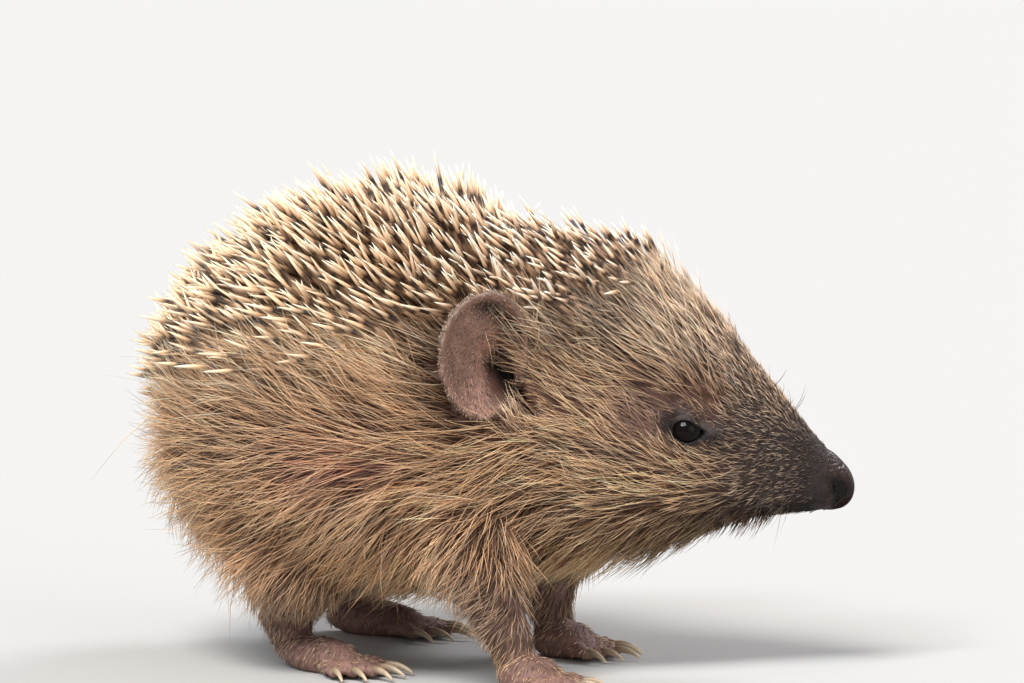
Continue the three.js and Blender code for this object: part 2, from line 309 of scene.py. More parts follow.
def closed_rings(rings, label):
    """Rings of points as a closed surface, its ends closed by fans."""
    count, sides = rings.shape[:2]
    points = np.concatenate([rings.reshape(-1, 3), [rings[0].mean(0), rings[-1].mean(0)]])
    first, last = count * sides, (count - 1) * sides
    pairs = [(i, (i + 1) % sides) for i in range(sides)]
    faces = [(r + i, r + i + sides, r + j + sides, r + j) for r in range(0, last, sides) for i, j in pairs]
    for i, j in pairs:
        faces += [(first, i, j), (first + 1, last + j, last + i)]
    return points, faces, label


def body_shape():
    share = np.linspace(0, 1, 170)
    eased = mix(share, np.sin(share * math.pi / 2), 0.55)
    s = np.sort(np.r_[0.05 + eased * (SKIN_LENGTH - 0.1), 0.12, 0.3, 0.6, 1.0, 1.6, 2.4])
    s, angle = np.meshgrid(s, around(96), indexing="ij")
    width, height = section(s, np.sin(angle) > 0, rounding(s))
    return closed_rings(place(s, width * np.cos(angle), wide_at(s) + height * np.sin(angle)), BODY)


def spline_points(path, count):
    """Points along a smooth curve through the path's points."""
    path = np.array(path, float)
    padded = np.concatenate([[2 * path[0] - path[1]], path, [2 * path[-1] - path[-2]]])
    x = np.linspace(0, len(path) - 1, count)
    i = np.minimum(x.astype(int), len(path) - 2)
    t = (x - i)[:, None]
    p0, p1, p2, p3 = padded[i], padded[i + 1], padded[i + 2], padded[i + 3]
    return 0.5 * (2 * p1 + (p2 - p0) * t + (2 * p0 - 5 * p1 + 4 * p2 - p3) * t ** 2
                  + (3 * p1 - p0 - 3 * p2 + p3) * t ** 3)


def tube(path, radii, label, steps, sides):
    """A limb along a smooth path with round ends."""
    curve = spline_points(path, steps)
    radius = np.interp(np.linspace(0, 1, steps), np.linspace(0, 1, len(radii)), radii)
    tangent = unit(np.gradient(curve, axis=0))
    caps = np.radians([80, 55, 28])

    def cap(end, sign, c):
        middle = curve[end] + sign * tangent[end] * radius[end] * math.sin(c)
        return middle, radius[end] * math.cos(c), tangent[end]

    stations = [cap(0, -1, c) for c in caps] + list(zip(curve, radius, tangent))
    stations += [cap(-1, 1, c) for c in caps[::-1]]
    angle = around(sides)[:, None]
    rings = []
    for centre, r, direction in stations:
        across = np.array([-1.0, 0, 0]) - direction * -direction[0]
        across = unit(across) if np.linalg.norm(across) > 0.1 else np.array([0, 1.0, 0])
        other = np.cross(direction, across)
        rings.append(centre + r * (np.cos(angle) * across + np.sin(angle) * other))
    return closed_rings(np.array(rings), label)


def blob(centre, halves, heading, label):
    """A ball with half sizes along its right, forward and up, turned to a heading."""
    la, lo = np.meshgrid(np.linspace(-math.pi / 2, math.pi / 2, 13)[1:-1], around(24), indexing="ij")
    local = np.stack([np.cos(la) * np.cos(lo), np.cos(la) * np.sin(lo), np.sin(la)], -1) * halves
    c, s = math.cos(heading), math.sin(heading)
    return closed_rings(local @ np.array([(c, s, 0), (-s, c, 0), (0, 0, 1)]) + centre, label)


def paw_frame(leg):
    """A paw's sizes, place, forward and right directions and heading."""
    heading = math.radians(leg["splay"])
    c, s = math.cos(heading), math.sin(heading)
    size = HIND_PAW if leg["hind"] else FRONT_PAW
    return size, stand(*leg["foot"], 0.0), np.array([s, -c, 0.0]), np.array([c, s, 0.0]), heading


def toe_places(leg):
    """Each toe's root, tip and direction."""
    size, at, forward, right, _ = paw_frame(leg)
    for i in range(TOES):
        spread = i / (TOES - 1) - 0.5
        direction = unit(forward + right * spread * 0.9)
        reach = size["length"] / 2 - 1.6 - abs(spread) * size["length"] * 0.16
        root = at + forward * reach + right * spread * size["width"] * 0.78
        root[2] = 1.15
        tip = root + direction * size["toe"] * (1 - 0.5 * abs(spread))
        tip[2] = 1.05
        yield root, tip, direction


def paw_shapes(leg):
    size, at, _, _, heading = paw_frame(leg)
    middle = at + np.array([0, 0, size["height"] * 0.42])
    halves = np.array([size["width"] * 0.43, size["length"] / 2 - 0.3, size["height"] * 0.54])
    shapes = [blob(middle, halves, heading, PAW)]
    for root, tip, direction in toe_places(leg):
        back = root - direction * 2.2 + np.array([0, 0, 0.5])
        knuckle = (root + tip) / 2 + np.array([0, 0, 0.55])
        shapes.append(tube([back, root, knuckle, tip], (0.9, 1.0, 1.15, 0.95), PAW, 12, 14))
    return shapes


def leg_shapes():
    shapes = []
    for leg in LEGS.values():
        path = [stand(*p) for p in leg["path"]]
        shapes.append(tube(path, leg["radii"], HIND_LEG if leg["hind"] else FRONT_LEG, 24, 28))
        shapes += paw_shapes(leg)
    return shapes


def ear_frame(side):
    """The ear's axes (forward edge, out of the cup, up) as rows, and its middle."""
    turn = math.pi + float(turn_at(EAR_AT[0])) + side * EAR_OUTWARD
    cz, sz = math.cos(turn), math.sin(turn)
    cx, sx = math.cos(EAR_TIP_BACK), math.sin(EAR_TIP_BACK)
    about_x = np.array([(1, 0, 0), (0, cx, -sx), (0, sx, cx)])
    about_z = np.array([(cz, -sz, 0), (sz, cz, 0), (0, 0, 1)])
    axes = (about_z @ about_x).T * np.array([[side], [1], [1]])
    return axes, place(EAR_AT[0], side * EAR_AT[1], EAR_AT[2])


def on_ear(points, side):
    """Points in an ear's own axes, and their share of the way to its rim."""
    axes, middle = ear_frame(side)
    x, y, z = ((points - middle) @ axes.T).T
    return x, y, z, np.hypot(x / EAR_HALF[0], z / EAR_HALF[1])


def own_ear(points, out):
    """The same in the axes of the ear on each point's own side."""
    return [np.where(out > 0, left, right) for left, right in zip(on_ear(points, 1), on_ear(points, -1))]


def ear_canal(x, z):
    """Strength of the opening, a tall slit towards the front of the cup, sunk in and painted near black as
    its shade.
    """
    return np.exp(-((x - 3.4 - 0.10 * z) ** 2 / 2.6 + (z + 3.0) ** 2 / 16.0))


def ear_hollow(x, z):
    """Strength of the hollow that runs under the cup's top and down its front, sunk into the cup and painted
    dark as its shade.
    """
    return bell((z, 7.0 - 0.1 * (x + 1.5) ** 2, 1.3)) * smooth(-3.0, 0.5, x)


def ear_bowl(x, share):
    """How deep the plain cup is, sunk in front."""
    return EAR_CUP * (share ** 2 - 1) - 2.6 * smooth(0.0, 6.5, x)


def ear_depth(x, z, share):
    """How deep the cup is with its canal and hollow, a ridge between them, and a rolled rim."""
    inside = smooth(1.0, 0.6, share)
    ridge = bell((z + 0.9 * x, 2.4, 1.1))
    details = (2.2 * ear_canal(x, z) + 1.1 * ear_hollow(x, z) - 0.45 * ridge) * inside
    return ear_bowl(x, share) - details + 0.28 * bell((share, 0.93, 0.09))


def ear_shapes(side):
    axes, middle = ear_frame(side)
    share, angle = np.meshgrid(np.linspace(0, 1, 20)[1:], around(60), indexing="ij")
    x = EAR_HALF[0] * share * np.cos(angle) * (1 + 0.07 * np.sin(angle))
    z = EAR_HALF[1] * share * np.sin(angle)
    depth = ear_depth(x, z, share)
    thick = 0.45 + 0.12 * smooth(0.85, 1.0, share)
    front = np.stack([x, depth + thick, z], -1)
    back = np.stack([x, np.minimum(ear_bowl(x, share), depth) - thick, z], -1)
    rings = np.concatenate([front, back[::-1]]) if side > 0 else np.concatenate([back, front[::-1]])
    root = middle + np.array([-1.2, -5.6, -2.6]) @ axes
    heading = math.atan2(axes[0][1], axes[0][0])
    base = blob(root, np.array([4.6, 2.4, 5.2]), heading, BODY)
    return [closed_rings(rings @ axes + middle, EAR), base]


def tail_shape():
    root = place(LENGTH - 19, 0.0, 21.0)
    end = place(LENGTH - 6, 0.0, 8.6)
    middle = (root + end) / 2 + np.array([0, 1.0, 0.6])
    return tube([root, middle, end], (2.3, 1.8, 0.8), TAIL, 14, 14)


def join_shapes(shapes):
    points, faces, labels = [], [], []
    start = 0
    for part, part_faces, label in shapes:
        points.append(part)
        faces += [tuple(i + start for i in face) for face in part_faces]
        labels += [label] * len(part_faces)
        start += len(part)
    return np.concatenate(points), faces, np.array(labels)


# ---------------------------------------------------------------- the skin

def solid_mesh(name, points, faces):
    mesh = bpy.data.meshes.new(name)
    mesh.from_pydata((points * MM).tolist(), [], faces)
    mesh.update()
    return mesh


def link_object(name, data):
    thing = bpy.data.objects.new(name, data)
    bpy.context.scene.collection.objects.link(thing)
    return thing


def read(items, key, width=1, kind=float):
    """A property of all the items as an array."""
    flat = np.empty(len(items) * width, kind)
    items.foreach_get(key, flat)
    return flat.reshape(-1, width) if width > 1 else flat


def vertices_of(mesh):
    return read(mesh.vertices, "co", 3) / MM


def set_vertices(mesh, points):
    mesh.vertices.foreach_set("co", (points * MM).ravel())
    mesh.update()


def normals_of(mesh):
    return read(mesh.vertex_normals, "vector", 3)


def refine(mesh, mask_of):
    """Halves the faces where the mask of s, out and up holds, then smooths them."""
    bm = bmesh.new()
    bm.from_mesh(mesh)
    mask = mask_of(*locate(np.array([v.co for v in bm.verts]) / MM))
    edges = [e for e in bm.edges if mask[e.verts[0].index] and mask[e.verts[1].index]]
    made = bmesh.ops.subdivide_edges(bm, edges=edges, cuts=1, use_grid_fill=True)
    verts = [v for v in made["geom_inner"] if isinstance(v, bmesh.types.BMVert)]
    near = {v for w in verts for e in w.link_edges for v in e.verts}
    for _ in range(3):
        bmesh.ops.smooth_vert(bm, verts=list(near), factor=0.5, use_axis_x=True, use_axis_y=True,
                              use_axis_z=True)
    bm.to_mesh(mesh)
    bm.free()


def grow_skin():
    """The union of all the shapes, remeshed, smoothed and made finer on the face, eyes and nose."""
    shapes = [body_shape()] + leg_shapes() + ear_shapes(-1) + ear_shapes(1) + [tail_shape()]
    points, faces, labels = join_shapes(shapes)
    source = link_object("skin_source", solid_mesh("skin_source", points, faces))
    remesh = source.modifiers.new("remesh", "REMESH")
    remesh.mode = "VOXEL"
    remesh.voxel_size = VOXEL * MM
    soften = source.modifiers.new("soften", "SMOOTH")
    soften.factor = 0.5
    soften.iterations = 3
    graph = bpy.context.evaluated_depsgraph_get()
    mesh = bpy.data.meshes.new_from_object(source.evaluated_get(graph))
    mesh.name = "skin"
    bpy.data.objects.remove(source)
    refine(mesh, lambda s, out, up: s < 31)
    refine(mesh, lambda s, out, up: (s < 6.5) | ((np.hypot(*from_eye(s, up)) < 4.6) & (np.abs(out) > 5)))
    tree = BVHTree.FromPolygons((points * MM).tolist(), faces)
    found = [tree.find_nearest(v.co)[2] for v in mesh.vertices]
    return mesh, labels[np.array(found)]


def from_eye(s, up):
    """How far in front of the eye and above it a point lies."""
    return EYE_AT[0] - s, up - EYE_AT[2]


def eye_distance(s, up):
    """Distance from the eye opening's middle, 1 at its edge."""
    ahead, rise = from_eye(s, up)
    rise = (rise + 0.10 * ahead) * (1 + 0.7 * np.clip(ahead / 2.3, 0, 1) ** 2)
    return np.hypot(ahead / np.where(ahead > 0, 2.4, 1.8), rise / np.where(rise > 0, 1.5, 1.4))


def shape_eyes(s, out, up):
    """Lids: a rounded rim that closes on the eyeball in an almond. Gives the new distance out."""
    ahead, rise = from_eye(s, up)
    rise = rise + 0.10 * ahead
    q = eye_distance(s, up)
    flat = np.minimum(np.hypot(ahead, rise), EYE_RADIUS * 0.96)
    ball = EYE_AT[1] + np.sqrt(EYE_RADIUS ** 2 - flat ** 2)
    lid = np.where(q < 1.02, ball - 0.9, ball + 0.32 * smooth(1.02, 1.2, q))
    brow = 0.5 * bell((rise, 2.7, 0.9), (ahead, 0, 2.8))
    pouch = 0.35 * bell((rise, -2.4, 0.8), (ahead, 0, 2.4))
    target = mix(lid, np.abs(out), smooth(1.3, 2.4, q)) + brow + pouch
    near = (np.hypot(ahead, rise) < 7.5) & (np.abs(out) > 4.0)
    return np.where(near, np.sign(out) * target, out)


def lip_line(s, up, width):
    """Strength of the line of the mouth."""
    height = 23.9 + 0.02 * s + 0.5 * bell((s, 21, 3.0))
    return bell((up, height, width)) * smooth(2.5, 5.0, s)


def pad_edge(s, up):
    """How far in front of the nose pad's edge a point lies."""
    return 4.2 - 0.12 * (up - 26.2) - s


def nostrils(s, out, up):
    """Strength of the nostrils, comma-shaped slots in the sides of the pad."""
    height = up - 25.2
    slot = 1.9 + 0.14 * height ** 2 * np.where(height > 0, 1.0, 0.5)
    return np.exp(-((s - slot) / 1.3) ** 2 - (height / 2.2) ** 4) * smooth(1.0, 2.0, np.abs(out))


def ear_slit(s, out, up, width=1.15):
    """Strength of the gap that slants down in front of each ear's foot, pushed in and painted dark as its
    shade.
    """
    band = bell((s, 44.9 + 0.42 * (up - 37.3), width))
    return band * smooth(35.6, 37.6, up) * smooth(47.0, 44.5, up) * (np.abs(out) > 8)


def sculpt_skin(mesh, labels):
    """Eyes, nose, mouth and ear openings, pushed into the vertices."""
    points = vertices_of(mesh)
    s, out, up = locate(points)
    head = np.flatnonzero((labels == BODY) & (s < 33))
    s, out, up = s[head], out[head], up[head]
    points[head] += sideways(s) * (shape_eyes(s, out, up) - out)[:, None]
    set_vertices(mesh, points)
    rim = bell((pad_edge(s, up), 0, 0.6)) * smooth(21.6, 23.0, up)
    swell = bell((s, 1.2, 1.8), (up, 26.0, 3.2))
    groove = bell((out, 0, 0.3)) * smooth(3.0, 1.5, s) * smooth(29.5, 27.5, up)
    lips = lip_line(s, up, 0.32) * smooth(23.5, 20.0, s) * smooth(0.8, 2.0, np.abs(out))
    push = 0.62 * swell - 0.14 * rim - 0.3 * groove - 0.35 * lips
    points[head] += normals_of(mesh)[head] * push[:, None]
    points[head] -= sideways(s) * (np.sign(out) * 1.9 * nostrils(s, out, up))[:, None]
    s, out, up = locate(points)
    points -= sideways(s) * (np.sign(out) * 2.8 * ear_slit(s, out, up))[:, None]
    points[:, 2] = np.maximum(points[:, 2], 0.03)
    set_vertices(mesh, points)


# ---------------------------------------------------------------- markings

SPINE_EDGE = np.array([(24, 90), (27, 73), (30, 61), (34, 50), (38, 43), (45, 40), (57, 31), (70, 22),
                       (83, 17), (94, 9), (120, 2)], float)


def above_edge(at):
    """Degrees round the body from the line where the fur ends and the spines begin."""
    return at.phi - np.interp(at.s, SPINE_EDGE[:, 0], SPINE_EDGE[:, 1])


# Each region of the fur: the skin's colour, the hair's colour at its root and at its tip, hairs to the
# square millimetre, length, thickness, lift from the skin at the root and at the tip in degrees, and how
# far the hair points down (1) or up (-1) as it runs back
REGIONS = {
    "muzzle": (rgb(50, 40, 36), rgb(40, 31, 28), rgb(214, 188, 162), 10.0, 1.5, 0.10, 26, 10, 0.0),
    "snout_top": (rgb(72, 55, 46), rgb(66, 50, 42), rgb(216, 184, 154), 10.0, 2.3, 0.095, 28, 12, -0.4),
    "forehead": (rgb(70, 50, 45), rgb(50, 34, 30), rgb(255, 220, 188), 8.6, 8.0, 0.095, 29, 9, -1.0),
    "cheek": (rgb(98, 68, 62), rgb(80, 53, 48), rgb(255, 215, 172), 8.6, 7.6, 0.097, 27, 8, -0.32),
    "throat": (rgb(136, 98, 78), rgb(134, 94, 72), rgb(255, 217, 170), 6.0, 8.0, 0.11, 34, 16, 0.6),
    "flank": (rgb(114, 80, 68), rgb(94, 63, 51), rgb(255, 210, 165), 6.9, 11.0, 0.106, 29, 8, 0.35),
    "hem": (rgb(108, 75, 62), rgb(88, 58, 46), rgb(244, 197, 152), 6.0, 11.0, 0.11, 36, 14, 0.9),
    "belly": (rgb(124, 98, 86), rgb(124, 98, 86), rgb(204, 180, 154), 2.2, 8.0, 0.13, 36, 14, 0.2),
}
REGION_COLOURS = np.array([np.concatenate(r[:3]) for r in REGIONS.values()])
REGION_NUMBERS = np.array([r[3:] for r in REGIONS.values()], float)
DENSITY, LONG, THICK, LIFT_ROOT, LIFT_TIP, FALL = range(6)

# Patches on the skin and the hair: colour, how much lighter it gets towards the hair's tip, strength,
# middle and half size behind the nose, middle and half size above the floor
PATCHES = (
    (rgb(146, 117, 107), 0.25, 0.55, 30.0, 3.4, 35.5, 3.4),
    (rgb(190, 126, 112), 0.12, 0.36, 60.5, 4.5, 31.5, 2.6),
    (rgb(100, 66, 44), 0.45, 0.55, 20.2, 3.0, 39.8, 2.2),
)


def region_weights(at):
    """How much each spot belongs to each region of the fur, in their order."""
    face, muzzle, crown = smooth(46, 36, at.s), smooth(25, 12, at.s), smooth(22, 46, at.phi)
    under, low, belly = smooth(-22, -48, at.phi), smooth(-12, -34, at.phi), smooth(-46, -70, at.phi)
    trunk, crest = 1 - face, 0.8 * smooth(30, 60, at.phi)
    table = np.stack([
        muzzle * (1 - crest),
        muzzle * crest,
        (1 - muzzle) * face * crown,
        (1 - muzzle) * face * (1 - crown) * (1 - under),
        (1 - muzzle) * (face * under + trunk * smooth(72, 52, at.s) * under * 0.7),
        trunk * (1 - low),
        trunk * low * (1 - belly),
        trunk * belly,
    ], axis=-1)
    return table / np.maximum(table.sum(axis=1, keepdims=True), 1e-6)


def streak(at):
    """The dark mark round the eye and in front of it."""
    ahead, rise = from_eye(at.s, at.up)
    round_eye = bell((ahead, 0, 4.2), (rise, 0, np.where(rise > 0, 4.2, 3.0)))
    return np.clip(round_eye + 0.6 * bell((ahead, 5.0, 4.0), (rise, -1.6, 2.2)), 0, 1)


def brow_band(at):
    """Strength of the dark band of hair in front of the spines."""
    return smooth(-30, -12, above_edge(at)) * smooth(24, 28, at.s) * smooth(46, 38, at.s)


def bare_corner(at):
    """Strength of the nearly bare grey skin just in front of the eye."""
    ahead, rise = from_eye(at.s, at.up)
    return bell((ahead, 4.2, 2.0), (rise, 0.1, 1.2)) * (np.abs(at.out) > 4)


def markings(at):
    """The colours of the skin, of the hair's root and of its tip on the body."""
    table = region_weights(at) @ REGION_COLOURS
    shade = 1 + 0.10 * wobble(at.points, 9.0, 3) + 0.06 * wobble(at.points, 3.5, 4)
    shade -= 0.42 * brow_band(at) + 0.20 * smooth(-2, 16, at.phi) * smooth(44, 52, at.s)
    # Painted shade: the chin and the underside of the muzzle are darkened where they lie out of the light.
    shade -= 0.58 * smooth(36, 24, at.s) * smooth(-18, -42, at.phi)
    colours = []
    for k in range(3):
        c = tint(table[:, 3 * k:3 * k + 3], rgb(48, 37, 33) * (1.0 + 0.5 * k), 0.9 * streak(at))
        for colour, lighter, strength, s, length, up, height in PATCHES:
            c = tint(c, colour * (1 + lighter * k), bell((at.s, s, length), (at.up, up, height)) * strength)
        if k == 0:
            c = tint(c, rgb(92, 76, 66), smooth(-4, 4, above_edge(at)))
        c = tint(c, rgb(44, 34, 31) * (1 + 0.4 * k), 0.8 * smooth(10.0, 5.0, at.s))
        colours.append(c * shade[:, None])
    return colours


def skin_colour(at):
    body, beside = at.labels == BODY, np.abs(at.out) > 4
    colour = markings(at)[0]
    limb = (is_leg(at.labels) | (at.labels == PAW)) * smooth(21, 12, at.up)
    leg = tint(rgb(112, 84, 76) + 0 * colour, rgb(136, 104, 94), smooth(5, 1.5, at.up))
    colour = tint(colour, leg, limb)
    colour = tint(colour, rgb(104, 78, 70), (at.labels == TAIL) * 1.0)
    colour = np.where((at.labels == EAR)[:, None], ear_colour(at), colour)
    lips = lip_line(at.s, at.up, 0.5) * smooth(24, 20, at.s)
    colour = tint(colour, rgb(34, 26, 24), 0.5 * lips * body)
    # Painted shade in the gap in front of each ear's foot.
    colour = tint(colour, rgb(26, 15, 12), np.clip(1.6 * ear_slit(at.s, at.out, at.up), 0, 1))
    lid = eye_distance(at.s, at.up)
    colour = tint(colour, rgb(60, 53, 54), 0.85 * smooth(3.0, 1.6, lid) * beside * body)
    colour = tint(colour, rgb(76, 67, 65), 0.7 * bare_corner(at) * body)
    # Painted shade: the dark line from the eye's front corner stands for the shadow of a groove that the skin
    # does not have; the lids' dark rim is their own colour.
    ahead, rise = from_eye(at.s, at.up)
    corner = bell((rise + 0.55 + 0.28 * (ahead - 2.2), 0, 0.28)) * smooth(1.2, 2.2, ahead)
    corner *= smooth(5.4, 3.4, ahead)
    colour = tint(colour, rgb(24, 19, 20), np.maximum(smooth(1.5, 1.15, lid), 0.9 * corner) * beside)
    colour = tint(colour, rgb(38, 29, 27), smooth(9.5, 5.5, at.s) * body)
    pad = smooth(-0.9, 0.9, pad_edge(at.s, at.up)) * body * (at.up > 21.5)
    colour = tint(colour, rgb(48, 36, 32), pad)
    # The nostrils are painted near black: their dark red lining, plus painted shade of their depth.
    return tint(colour, rgb(9, 2, 2), np.clip(1.7 * nostrils(at.s, at.out, at.up), 0, 1) * body)


def ear_margin(at):
    """Strength of the ear's front margin, where long hair runs over its edge."""
    x, _, z, _ = own_ear(at.points, at.out)
    return smooth(2.2, 4.2, x) * smooth(-1.5, 1.5, z)


def ear_opening(at):
    """Strength of the bare opening inside the ears."""
    x, y, z, _ = own_ear(at.points, at.out)
    return np.clip(2.0 * ear_canal(x, z), 0, 1) * (y > -7.5)


def ear_colour(at):
    x, y, z, share = own_ear(at.points, at.out)
    canal, hollow = ear_canal(x, z), ear_hollow(x, z)
    inside = smooth(-0.7, 0.1, y - ear_bowl(x, share) + 2.4 * canal + 1.1 * hollow) * smooth(0.97, 0.8, share)
    colour = np.tile(rgb(146, 112, 97), (len(x), 1))
    warm = np.exp(-((x - 2.2) ** 2 / 6 + (z - 0.2) ** 2 / 12)) * inside
    colour = tint(colour, rgb(160, 106, 84), 0.7 * warm)
    pink = np.exp(-((x - 0.4) ** 2 / 3 + (z + 4.8) ** 2 / 5)) * inside
    colour = tint(colour, rgb(180, 134, 120), 0.55 * pink)
    # Painted shade: the hollow under the cup's top is darkened where its shadow falls.
    colour = tint(colour, rgb(62, 42, 32), np.clip(1.35 * hollow, 0, 1) * inside)
    # Painted shade: the canal's depth is painted near black.
    colour = tint(colour, rgb(30, 19, 16), np.clip(1.5 * canal * inside, 0, 1))
    return tint(colour, rgb(150, 134, 120), 0.5 * smooth(0.92, 1.0, share))


# ---------------------------------------------------------------- the coat's unwrap

def unwrap_place(at):
    """Where spots lie on the skin's unwrap: the body's chart above, the limbs' and ears' below."""
    u = (at.angle + math.pi / 2) / (2 * math.pi) % 1.0
    v = 0.32 + 0.66 * np.clip((at.s + 1.0) / (SKIN_LENGTH + 2.0), 0, 1)
    feet = np.array([stand(*leg["foot"], 0.0)[:2] for leg in LEGS.values()])
    nearest = np.linalg.norm(at.points[:, None, :2] - feet[None], axis=2).argmin(1)
    for i, foot in enumerate(feet):
        mine = (is_leg(at.labels) | (at.labels == PAW)) & (nearest == i)
        turn = np.arctan2(at.points[:, 1] - foot[1], at.points[:, 0] - foot[0])
        u = np.where(mine, 0.01 + 0.16 * i + 0.14 * (turn / (2 * math.pi) + 0.5), u)
        v = np.where(mine, 0.01 + 0.27 * np.clip(at.up / 30.0, 0, 1), v)
    for i, side in enumerate((-1, 1)):
        x, y, z, share = on_ear(at.points, side)
        mine = (at.labels == EAR) & (np.sign(at.out) == side)
        back = y < EAR_CUP * (share ** 2 - 1)
        u = np.where(mine, 0.70 + 0.13 * i + 0.055 * back + 0.0027 * (x + 8), u)
        v = np.where(mine, 0.02 + 0.011 * (z + 12), v)
    tail = at.labels == TAIL
    u = np.where(tail, 0.955 + 0.003 * np.clip(at.out + 5, 0, 10), u)
    v = np.where(tail, 0.02 + 0.012 * np.clip(at.up, 0, 22), v)
    return np.stack([u, v], axis=-1)


def add_unwrap(mesh, at):
    """The skin's own UV map, each face kept whole where it crosses the seam under the belly."""
    layer = mesh.uv_layers.new(name="OFBake")
    corners = read(mesh.loops, "vertex_index", kind=int)
    starts = read(mesh.polygons, "loop_start", kind=int)
    first = np.repeat(corners[starts], read(mesh.polygons, "loop_total", kind=int))
    places = unwrap_place(at)
    uv, lead = places[corners], places[first]
    jump = np.abs(uv - lead).max(axis=1) > 0.25
    layer.data.foreach_set("uv", np.where(jump[:, None], lead + 0.001, uv).ravel())


# ---------------------------------------------------------------- materials

def new_material(name, **values):
    """A material, and its shader with these values on its own sockets."""
    material = bpy.data.materials.new(name)
    material.use_nodes = True
    shader = material.node_tree.nodes["Principled BSDF"]
    for socket, value in values.items():
        shader.inputs[socket.replace("_", " ")].default_value = value
    return material, shader


def add_node(material, kind, values, links, **settings):
    """A node with these input values, with links into it from these sockets."""
    node = material.node_tree.nodes.new("ShaderNode" + kind)
    for name, value in settings.items():
        setattr(node, name, value)
    for socket, value in values.items():
        node.inputs[socket].default_value = value
    for socket, source in links.items():
        material.node_tree.links.new(source, node.inputs[socket])
    return node


def noise_node(material, kind, values, **settings):
    """Noise or cells in the object's own coordinates."""
    where = add_node(material, "TexCoord", {}, {}).outputs["Object"]
    return add_node(material, kind, values, {"Vector": where}, **settings)


def shade_paint(material, shader, scale, low, high, detail=3.0):
    """The painted colour, darkened and lightened by noise between two factors."""
    noise = noise_node(material, "TexNoise", {"Scale": scale, "Detail": detail})
    limits = {"From Min": 0.3, "From Max": 0.7, "To Min": low, "To Max": high}
    spread = add_node(material, "MapRange", limits, {"Value": noise.outputs["Fac"]})
    colour = add_node(material, "Attribute", {}, {}, attribute_name="paint").outputs["Color"]
    links = {0: colour, "Scale": spread.outputs["Result"]}
    scaled = add_node(material, "VectorMath", {}, links, operation="SCALE")
    material.node_tree.links.new(scaled.outputs["Vector"], shader.inputs["Base Color"])


def add_bump(material, shader, height, distance, strength=1.0):
    values = {"Strength": strength, "Distance": distance}
    normal = add_node(material, "Bump", values, {"Height": height}).outputs["Normal"]
    material.node_tree.links.new(normal, shader.inputs["Normal"])
    return normal


def painted_material(name, scale, low, high, roughness, specular, bump_scale=0, bump=0.0):
    material, shader = new_material(name, Roughness=roughness, Specular_IOR_Level=specular)
    shade_paint(material, shader, scale, low, high, 8.0 if bump_scale else 2.0)
    if bump_scale:
        grain = noise_node(material, "TexNoise", {"Scale": bump_scale, "Detail": 6.0})
        add_bump(material, shader, grain.outputs["Fac"], bump)
    return material


def nose_material():
    """Wet dark skin in fine cobbles."""
    material, shader = new_material("nose_leather", Roughness=0.45, Specular_IOR_Level=0.05,
                                    Coat_Weight=0.26, Coat_Roughness=0.2)
    shade_paint(material, shader, 900.0, 0.8, 1.25)
    cells = noise_node(material, "TexVoronoi", {"Scale": 2000.0}, feature="SMOOTH_F1")
    cobbles = add_node(material, "Math", {0: 1.0}, {1: cells.outputs["Distance"]}, operation="SUBTRACT")
    normal = add_bump(material, shader, cobbles.outputs["Value"], 0.0003, 0.9)
    material.node_tree.links.new(normal, shader.inputs["Coat Normal"])
    return material


def eye_material():
    """A dark brown eye under a clear wet surface."""
    material, shader = new_material("eye_gloss", Roughness=0.04, Specular_IOR_Level=0.11)
    noise = noise_node(material, "TexNoise", {"Scale": 700.0, "Detail": 3.0})
    ramp = add_node(material, "ValToRGB", {}, {"Fac": noise.outputs["Fac"]})
    ramp.color_ramp.elements[0].color = (0.002, 0.0015, 0.0015, 1)
    ramp.color_ramp.elements[1].color = (0.006, 0.004, 0.003, 1)
    material.node_tree.links.new(ramp.outputs["Color"], shader.inputs["Base Color"])
    return material


def paint(mesh, colours):
    """Colours for each vertex, read by the materials."""
    layer = mesh.attributes.new("paint", "FLOAT_COLOR", "POINT")
    rgba = np.ones((len(colours), 4))
    rgba[:, :3] = np.clip(colours, 0, 1)
    layer.data.foreach_set("color", rgba.ravel())


def add_piece(name, mesh, materials, nodes=()):
    """The mesh as a piece of the model, riding on the body in place of these solids."""
    mesh.polygons.foreach_set("use_smooth", np.ones(len(mesh.polygons), bool))
    for material in materials:
        mesh.materials.append(material)
    thing = link_object(name, mesh)
    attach(thing, "root")
    if nodes:
        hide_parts(*nodes)


FLESH = ["nose", "snout", "lower_jaw", "head", "ear_right", "ear_left", "neck", "back", "belly", "tail"]
FLESH += [f"{name}_{part}" for name in LEGS for part in ("leg", "paw")]


def build_skin():
    mesh, labels = grow_skin()
    sculpt_skin(mesh, labels)
    at = Spots(vertices_of(mesh), normals_of(mesh), labels)
    paint(mesh, skin_colour(at))
    add_unwrap(mesh, at)
    mesh.materials.clear()
    leather = painted_material("skin", 700.0, 0.72, 1.22, 0.62, 0.3, 3200.0, 0.00014)
    add_piece("skin", mesh, [leather, nose_material()], FLESH)
    pad = (labels == BODY) & (pad_edge(at.s, at.up) > 0) & (at.up > 21.9)
    on_pad = [all(pad[i] for i in f.vertices) for f in mesh.polygons]
    mesh.polygons.foreach_set("material_index", np.array(on_pad, int))
    return mesh, labels


# ---------------------------------------------------------------- eyes and claws

